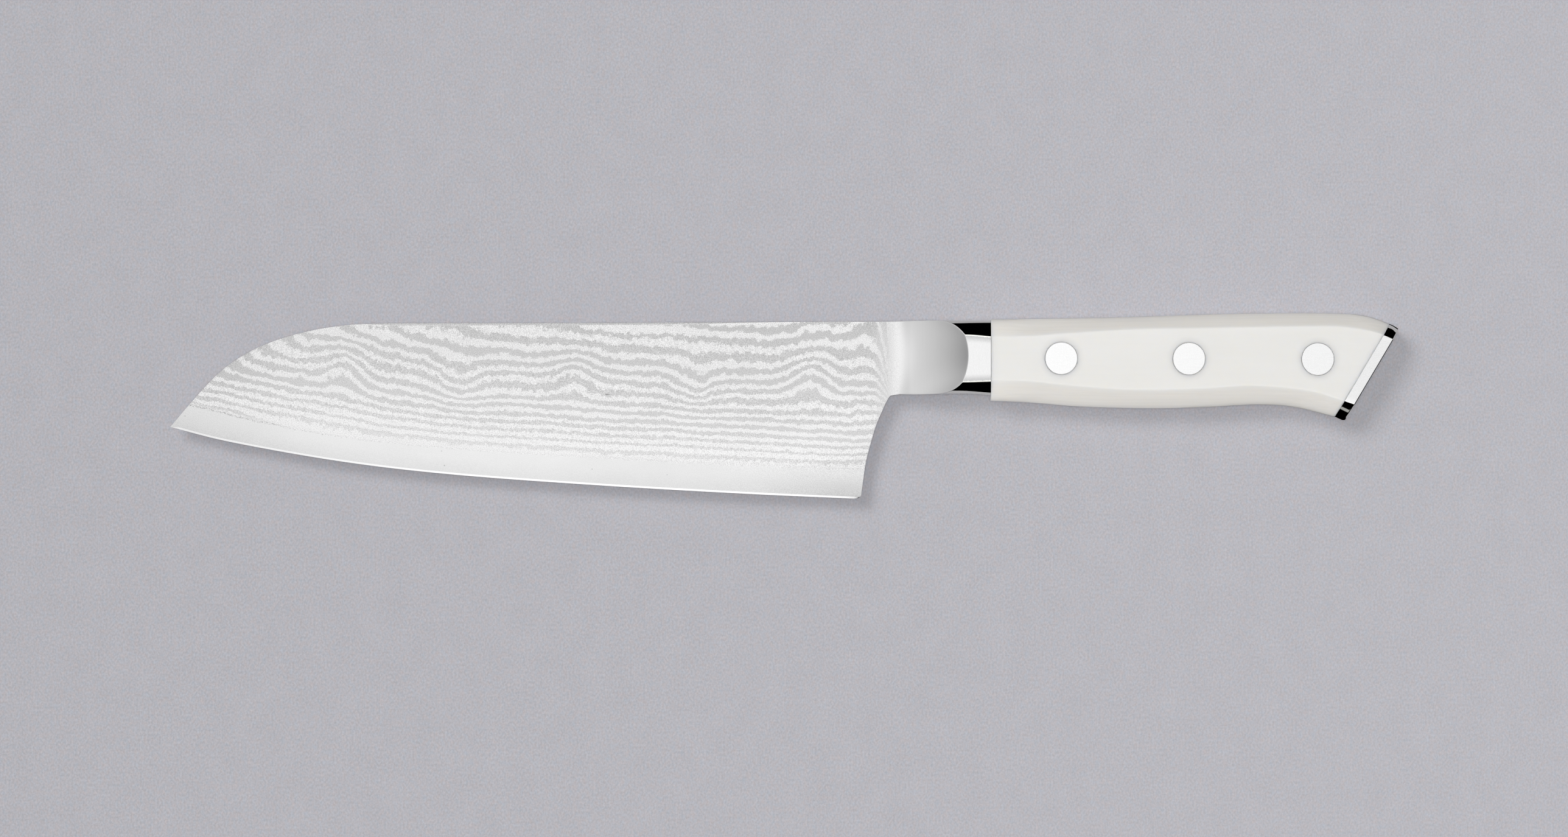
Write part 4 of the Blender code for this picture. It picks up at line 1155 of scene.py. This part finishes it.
    # Front and back faces round the slot for the blank.
    slot_half = TONGUE_HALF + 0.02
    slot = np.array(
        [
            (TONGUE[0] - 0.02, 0.0),
            (TONGUE[0] - 0.02, slot_half),
            *[(y, slot_half) for y in np.linspace(TONGUE[0], TONGUE[1], 20)],
            (TONGUE[1] + 0.02, slot_half),
            (TONGUE[1] + 0.02, 0.0),
        ]
    )
    left3 = np.column_stack([left, hollow(left[:, 0], left[:, 1])])
    t = np.linspace(0, 1, 5)[:, None]
    low_turn = (1 - t) ** 2 * outside[0] + 2 * t * (1 - t) * edge[0] + t * t * inner[0]
    high_turn = (1 - t) ** 2 * inner[-1] + 2 * t * (1 - t) * edge[-1] + t * t * outside[-1]
    front = np.vstack(
        [
            [r[0] for r in outer_rows[:first]],
            low_turn,
            left3[::-1],
            high_turn,
            [r[0] for r in outer_rows[last + 1 :]],
        ]
    )[:, 1:]
    back = np.array([r[-1] for r in outer_rows])[:, 1:]
    for x, ring in ((SEAM, front), (BOLSTER_BACK, back)):
        closed = np.vstack([ring, slot[::-1]])
        points, faces = fill([closed])
        # The back face, against the scale, takes the painted gap shade.
        shell.add(np.column_stack([np.full(len(points), x), points]), faces, 2 if x > SEAM + 1 else 1)
    shell.grid(
        [np.column_stack([np.full(len(slot), x), slot]) for x in np.linspace(SEAM, BOLSTER_BACK, 3)],
        1,
    )
    shell.mirrored()

    def inward(p):
        y = np.minimum(p[:, 1] - along(BOLSTER_LOW, p[:, 0]), along(BOLSTER_HIGH, p[:, 0]) - p[:, 1])
        return np.where(np.abs(p[:, 2]) > 5.0, y, -2.0)

    obj = shell.build("bolster_steel_neck", [HOLLOW, POLISHED, GAP_SHADE], attributes={"inward": inward}, sharp=50.0)
    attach(obj, "root")
    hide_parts("bolster_left", "bolster_right")


bolster()


# -------------------------------------------------------------------- scales
def scale(side):
    z_low = TANG_HALF + 0.01
    surface = Side(SCALE_FRONT, 158.0, 0.5, handle_rule(z_low))
    shell = Shell()
    count = surface.count
    share = np.linspace(0, 1, 180)
    rows = []
    front_ease = 0.1
    for k in range(count):
        end = surface.to_plane(k, CAP_FRONT - 0.012)
        xs = SCALE_FRONT + front_ease + (end - SCALE_FRONT - front_ease) * share
        rows.append(surface.at(k, xs))
    rows = np.array(rows)
    # A rounded front arris, drawn in from the full section.
    ring = rows[:, 0, 1:]
    ahead = np.gradient(ring, axis=0)
    ahead /= np.linalg.norm(ahead, axis=1)[:, None]
    inward = np.column_stack([ahead[:, 1], -ahead[:, 0]])
    steps = []
    for a in np.linspace(0, math.pi / 2, 5)[:-1]:
        drawn = ring + inward * front_ease * (1 - math.sin(a))
        drawn[0, 1] = drawn[-1, 1] = z_low
        x = SCALE_FRONT + front_ease * (1 - math.cos(a))
        steps.append(np.column_stack([np.full(count, x), drawn]))
    full = np.concatenate([np.stack(steps, axis=1), rows], axis=1)
    shell.grid(full)
    # Inner face, front and rear faces.
    foot, head = full[0], full[-1]
    shell.grid([foot, head])
    front = full[:, 0, 1:]
    points, faces = fill([front])
    shell.add(np.column_stack([np.full(len(points), full[0, 0, 0]), points]), faces)
    rear = full[:, -1]
    flat = rear[:, 1:]
    points, faces = fill([flat])
    x = (CAP_FRONT - 0.012 - points[:, 0] * NORMAL[1]) / NORMAL[0]
    shell.add(np.column_stack([x, points]), faces)
    name = "white_scale_left" if side > 0 else "white_scale_right"
    obj = shell.build(name, [WHITE], flip=side < 0, sharp=60.0)
    # Seats for the rivet heads and barrels.
    cutter = Shell()
    turn = np.linspace(0, 2 * math.pi, 97)
    for x, y in RIVETS.values():
        profile = [
            (0.0, 9.0),
            (HEAD_R + 0.035, 9.0),
            (HEAD_R + 0.035, HEAD_Z - HEAD_DEPTH - 0.03),
            (BARREL_R + 0.03, HEAD_Z - HEAD_DEPTH - 0.03),
            (BARREL_R + 0.03, 0.3),
            (0.0, 0.3),
        ]
        cutter.grid([np.column_stack([x + r * np.cos(turn), y + r * np.sin(turn), np.full(97, z)]) for r, z in profile])
    tool = cutter.build("seat_cutter", [WHITE], flip=side < 0)
    modifier = obj.modifiers.new("seats", "BOOLEAN")
    modifier.operation = "DIFFERENCE"
    modifier.solver = "EXACT"
    modifier.object = tool
    bpy.context.view_layer.update()
    graph = bpy.context.evaluated_depsgraph_get()
    cut = bpy.data.meshes.new_from_object(obj.evaluated_get(graph))
    obj.modifiers.clear()
    obj.data = cut
    bpy.data.objects.remove(tool, do_unlink=True)
    cut.shade_smooth()
    cut.set_sharp_from_angle(angle=math.radians(60))
    print(name, "after cutting", len(cut.vertices), len(cut.polygons))
    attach(obj, "root")
    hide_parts("scale_left" if side > 0 else "scale_right")


scale(1)
scale(-1)


# ------------------------------------------------------------------- end cap
def end_cap():
    surface = Side(118.0, 158.0, 0.25, handle_rule(0.0))
    shell = Shell()
    bevel = 0.2
    rows = []
    for k in range(surface.count):
        a = surface.to_plane(k, CAP_FRONT)
        b = surface.to_plane(k, CAP_FRONT + CAP_THICK - bevel)
        rows.append(surface.at(k, np.linspace(a, b, 12)))
    rows = np.array(rows)
    # Rear bevel: the last ring, drawn in and moved square to the cap's faces.
    last = rows[:, -1]
    across = np.array([NORMAL[1] * -1, NORMAL[0]])  # along the cap, in the plane of its face
    s = last[:, :2] @ across
    flat = np.column_stack([s, last[:, 2]])
    ahead = np.gradient(flat, axis=0)
    ahead /= np.linalg.norm(ahead, axis=1)[:, None]
    inward = np.column_stack([ahead[:, 1], -ahead[:, 0]])
    rings = []
    for a in (0.5, 1.0):
        drawn = flat + inward * bevel * a
        depth = CAP_FRONT + CAP_THICK - bevel + bevel * a
        drawn[0, 1] = drawn[-1, 1] = 0.0
        xy = drawn[:, :1] * across + depth * NORMAL
        rings.append(np.column_stack([xy, drawn[:, 1]]))
    full = np.concatenate([rows, np.stack(rings, axis=1)], axis=1)
    shell.grid(full)
    for ring, depth in ((full[:, 0], CAP_FRONT), (full[:, -1], CAP_FRONT + CAP_THICK)):
        s = ring[:, :2] @ across
        points, faces = fill([np.column_stack([s, ring[:, 2]])])
        xy = points[:, :1] * across + depth * NORMAL
        # The front face, against the scales, takes the painted gap shade.
        shell.add(np.column_stack([xy, points[:, 1]]), faces, 1 if depth == CAP_FRONT else 0)
    shell.mirrored()

    def inward_of(p):
        top = along(CREASE_TOP, p[:, 0])
        bottom = along(CREASE_BOTTOM, p[:, 0])
        y = np.minimum(p[:, 1] - bottom, top - p[:, 1])
        front = p[:, :2] @ NORMAL
        on = (np.abs(p[:, 2]) > 5.0) & (front < CAP_FRONT + CAP_THICK - bevel + 0.01)
        return np.where(on, y, -2.0)

    obj = shell.build("end_cap_steel", [CAP_STEEL, GAP_SHADE], attributes={"inward": inward_of}, sharp=40.0)
    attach(obj, "root")
    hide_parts("end_cap")


end_cap()


# -------------------------------------------------------------------- rivets
def turned(name, centre, profile, node):
    shell = Shell()
    turn = np.linspace(0, 2 * math.pi, 97)
    x, y = centre
    rings = [np.column_stack([x + r * np.cos(turn), y + r * np.sin(turn), np.full(97, z)]) for r, z in profile]
    for (r0, z0), (r1, z1), low, high in zip(profile, profile[1:], rings, rings[1:]):
        # Faces under the head and round the barrel take the painted gap shade.
        shell.grid([low, high], 1 if min(r0, r1) >= BARREL_R - 0.01 and abs(z0 + z1) < 2 * HEAD_Z - 0.2 else 0)
    obj = shell.build(name, [RIVET_STEEL, GAP_SHADE], sharp=30.0)
    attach(obj, "root")
    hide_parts(node)


def arris(z, side, ease=0.09, steps=4):
    """Points round the rim of a head, from its face to its edge."""
    out = []
    for a in np.linspace(0, math.pi / 2, steps + 1):
        out.append((HEAD_R - ease + ease * math.sin(a), z - side * ease * (1 - math.cos(a))))
    return out


for place, centre in RIVETS.items():
    neck = HEAD_Z - HEAD_DEPTH
    turned(
        f"rivet_{place}_head_left",
        centre,
        [(0.0, HEAD_Z), (2.0, HEAD_Z), (HEAD_R - 0.13, HEAD_Z), *arris(HEAD_Z, 1), (HEAD_R, neck), (SHANK_R, neck), (SHANK_R, -4.2), (SHANK_R - 0.4, -4.6), (0.0, -4.6)],
        f"rivet_{place}_male",
    )
    turned(
        f"rivet_{place}_head_right",
        centre,
        [(0.0, -5.0), (BORE_R, -5.0), (BORE_R, 4.8), (BARREL_R, 4.8), (BARREL_R, -neck), (HEAD_R, -neck), *arris(-HEAD_Z, -1)[::-1], (HEAD_R - 0.13, -HEAD_Z), (2.0, -HEAD_Z), (0.0, -HEAD_Z)],
        f"rivet_{place}_female",
    )


# -------------------------------------------------------------------- floor
def paper():
    f = Finish("paper_look", Roughness=0.9)
    f.shader.inputs["Specular IOR Level"].default_value = 0.0
    fibre = f.sub(f.noise((2.1, 1.6, 1.9), 3.0, 0.68, seed=2.0), 0.5)
    pulp = f.sub(f.noise((0.16, 0.13, 0.16), 3.0, 0.5, seed=4.0), 0.5)
    warm = f.sub(f.noise((0.85, 0.7, 0.8), 3.0, 0.62, seed=6.0), 0.5)
    tone = f.add(f.mul(fibre, 0.72), f.mul(pulp, 0.10))
    x = split_xyz(f)[0]
    # Painted light: the paper is drawn a little lighter towards +x, standing in for the light falling off across the
    # floor.
    tone = f.add(tone, f.band(x, -200, 200, -0.057, 0.045, soft=False))
    made = f.node("ShaderNodeCombineColor")
    for socket, base, lean in zip(made.inputs, FLOOR, (0.26, -0.04, -0.22)):
        f.join(f.mul(base, f.add(f.add(1.0, tone), f.mul(warm, lean))), socket)
    f.set(Base_Color=made.outputs[0])
    return f.material


FLOOR = (linear(186.6), linear(185.4), linear(191.2))
bpy.ops.mesh.primitive_grid_add(x_subdivisions=4, y_subdivisions=4, size=6.0)
floor = bpy.context.object
floor.name = "paper_floor"
floor.location.z = -0.00002
floor.data.materials.append(paper())


# ------------------------------------------------------------------- lights
def only(obj, **seen):
    for key in ("camera", "diffuse", "glossy", "transmission", "volume_scatter", "shadow"):
        setattr(obj, f"visible_{key}", seen.get(key, False))


def area(name, place, share, size, radiance=None, **seen):
    """A rectangular light aimed at the middle of the knife. share is how much of a level surface's light it gives."""
    place = Vector(place)
    if radiance is None:
        radiance = share * math.pi * place.length_squared / (size[0] * size[1] * place.normalized().z)
    data = bpy.data.lights.new(name, "AREA")
    data.shape = "RECTANGLE"
    data.size, data.size_y = size
    data.energy = radiance * math.pi * size[0] * size[1]
    obj = bpy.data.objects.new(name, data)
    bpy.context.scene.collection.objects.link(obj)
    obj.location = place
    obj.rotation_euler = (-place).to_track_quat("-Z", "Y").to_euler()
    only(obj, **seen)
    return obj


FILL = 0.13
area("top", (0.0, 0.0, 3.125), 0.31, (0.3, 0.3), diffuse=True, shadow=True)
area("key", (-1.1, 1.1125, 3.0), 0.31, (1.25, 1.25), diffuse=True, shadow=True)
lift = area("lift", (0.0, -1.55, 3.0), 0.28, (2.25, 2.25), diffuse=True)
lift.data.use_shadow = False
area("softbox", (0.0, 0.0, 1.2), 0.0, (0.408, 1.74), radiance=0.40, glossy=True)

world = bpy.data.worlds.new("studio")
bpy.context.scene.world = world
world.use_nodes = True
tree = world.node_tree
tree.nodes.clear()
out = tree.nodes.new("ShaderNodeOutputWorld")
path = tree.nodes.new("ShaderNodeLightPath")


def background(colour, strength):
    made = tree.nodes.new("ShaderNodeBackground")
    made.inputs["Color"].default_value = (*colour, 1)
    made.inputs["Strength"].default_value = strength
    return made.outputs[0]


def choose(share, a, b):
    made = tree.nodes.new("ShaderNodeMixShader")
    tree.links.new(share, made.inputs[0])
    tree.links.new(a, made.inputs[1])
    tree.links.new(b, made.inputs[2])
    return made.outputs[0]


fill_light = background((0.97, 0.98, 1.0), FILL)
around = tree.nodes.new("ShaderNodeBackground")
around.inputs["Color"].default_value = (1, 1, 1, 1)
where = tree.nodes.new("ShaderNodeTexCoord")
parts = tree.nodes.new("ShaderNodeSeparateXYZ")
height = tree.nodes.new("ShaderNodeMapRange")
tree.links.new(where.outputs["Generated"], parts.inputs[0])
tree.links.new(parts.outputs["Z"], height.inputs["Value"])
height.inputs["From Min"].default_value, height.inputs["From Max"].default_value = 0.0, 1.0
height.inputs["To Min"].default_value, height.inputs["To Max"].default_value = 0.17, 0.77
total = height.outputs["Result"]
for reach, share in ((0.38, 0.22), (-0.38, 0.12)):  # a little brighter towards the knife's long sides
    sideways = tree.nodes.new("ShaderNodeMapRange")
    sideways.interpolation_type = "SMOOTHSTEP"
    tree.links.new(parts.outputs["Y"], sideways.inputs["Value"])
    sideways.inputs["From Min"].default_value, sideways.inputs["From Max"].default_value = reach * 0.2, reach
    sideways.inputs["To Min"].default_value, sideways.inputs["To Max"].default_value = 0.0, share
    more = tree.nodes.new("ShaderNodeMath")
    tree.links.new(total, more.inputs[0])
    tree.links.new(sideways.outputs["Result"], more.inputs[1])
    total = more.outputs[0]
tree.links.new(total, around.inputs["Strength"])
around = around.outputs[0]
backdrop = background((0.80, 0.80, 0.82), 0.75)
look = choose(path.outputs["Is Glossy Ray"], fill_light, around)
look = choose(path.outputs["Is Camera Ray"], look, backdrop)
tree.links.new(look, out.inputs[0])


def flag(name, corner, along_x, along_y, high, windows=()):
    """A black card that stands beside the handle, seen only in its polished steel. Windows are cut out of it: (from, to, low, high)."""
    run = math.hypot(along_x, along_y)
    cuts = sorted({0.0, run, *(w for window in windows for w in window[:2])})
    levels = sorted({0.2, high, *(w for window in windows for w in window[2:])})
    mesh = bpy.data.meshes.new(name)
    bm = bmesh.new()
    grid = [[bm.verts.new(((corner[0] + along_x * u / run) * MM, (corner[1] + along_y * u / run) * MM, z * MM)) for u in cuts] for z in levels]
    for i in range(len(levels) - 1):
        for j in range(len(cuts) - 1):
            u, z = (cuts[j] + cuts[j + 1]) / 2, (levels[i] + levels[i + 1]) / 2
            if not any(w[0] < u < w[1] and w[2] < z < w[3] for w in windows):
                bm.faces.new([grid[i][j], grid[i][j + 1], grid[i + 1][j + 1], grid[i + 1][j]])
    bm.to_mesh(mesh)
    bm.free()
    black = bpy.data.materials.new(name + "_cloth")
    black.use_nodes = True
    shader = black.node_tree.nodes["Principled BSDF"]
    shader.inputs["Base Color"].default_value = (0.0, 0.0, 0.0, 1)
    shader.inputs["Specular IOR Level"].default_value = 0.0
    mesh.materials.append(black)
    obj = bpy.data.objects.new(name, mesh)
    bpy.context.scene.collection.objects.link(obj)
    only(obj, glossy=True)


def mat(name, low, high):
    """A black card on the floor, seen only in the polished steel beside it: a painted dark reflection standing in for
    the shaded floor next to the handle.
    """
    mesh = bpy.data.meshes.new(name)
    corners = [(low[0], low[1]), (high[0], low[1]), (high[0], high[1]), (low[0], high[1])]
    mesh.from_pydata([(x * MM, y * MM, 0.3 * MM) for x, y in corners], [], [(0, 1, 2, 3)])
    mesh.materials.append(bpy.data.materials["card_above_cloth"])
    obj = bpy.data.objects.new(name, mesh)
    bpy.context.scene.collection.objects.link(obj)
    only(obj, glossy=True)


flag("card_above", (20, 140), 220, 0, 180)
flag("card_below", (20, -60), 220, 0, 97, [(94, 112, 25, 31)])
flag("card_end", (300, 60), -60, -200, 90)
# Painted dark reflections: black cards on the floor in place of the shaded floor beside the handle.
mat("mat_above", (143, 21), (180, 38))
mat("mat_below", (100, -60), (146, -3))

# ------------------------------------------------------------------- camera
scene = bpy.context.scene
scene.view_settings.view_transform = "Standard"
scene.view_settings.look = "None"
lens = bpy.data.cameras.new("camera")
lens.lens = 250
lens.sensor_width = 36
lens.clip_start, lens.clip_end = 0.05, 20
camera = bpy.data.objects.new("camera", lens)
scene.collection.objects.link(camera)
camera.location = (-0.05 * MM, -3.11 * MM, 2.7202)
camera.rotation_euler = (0, 0, 0)
scene.camera = camera
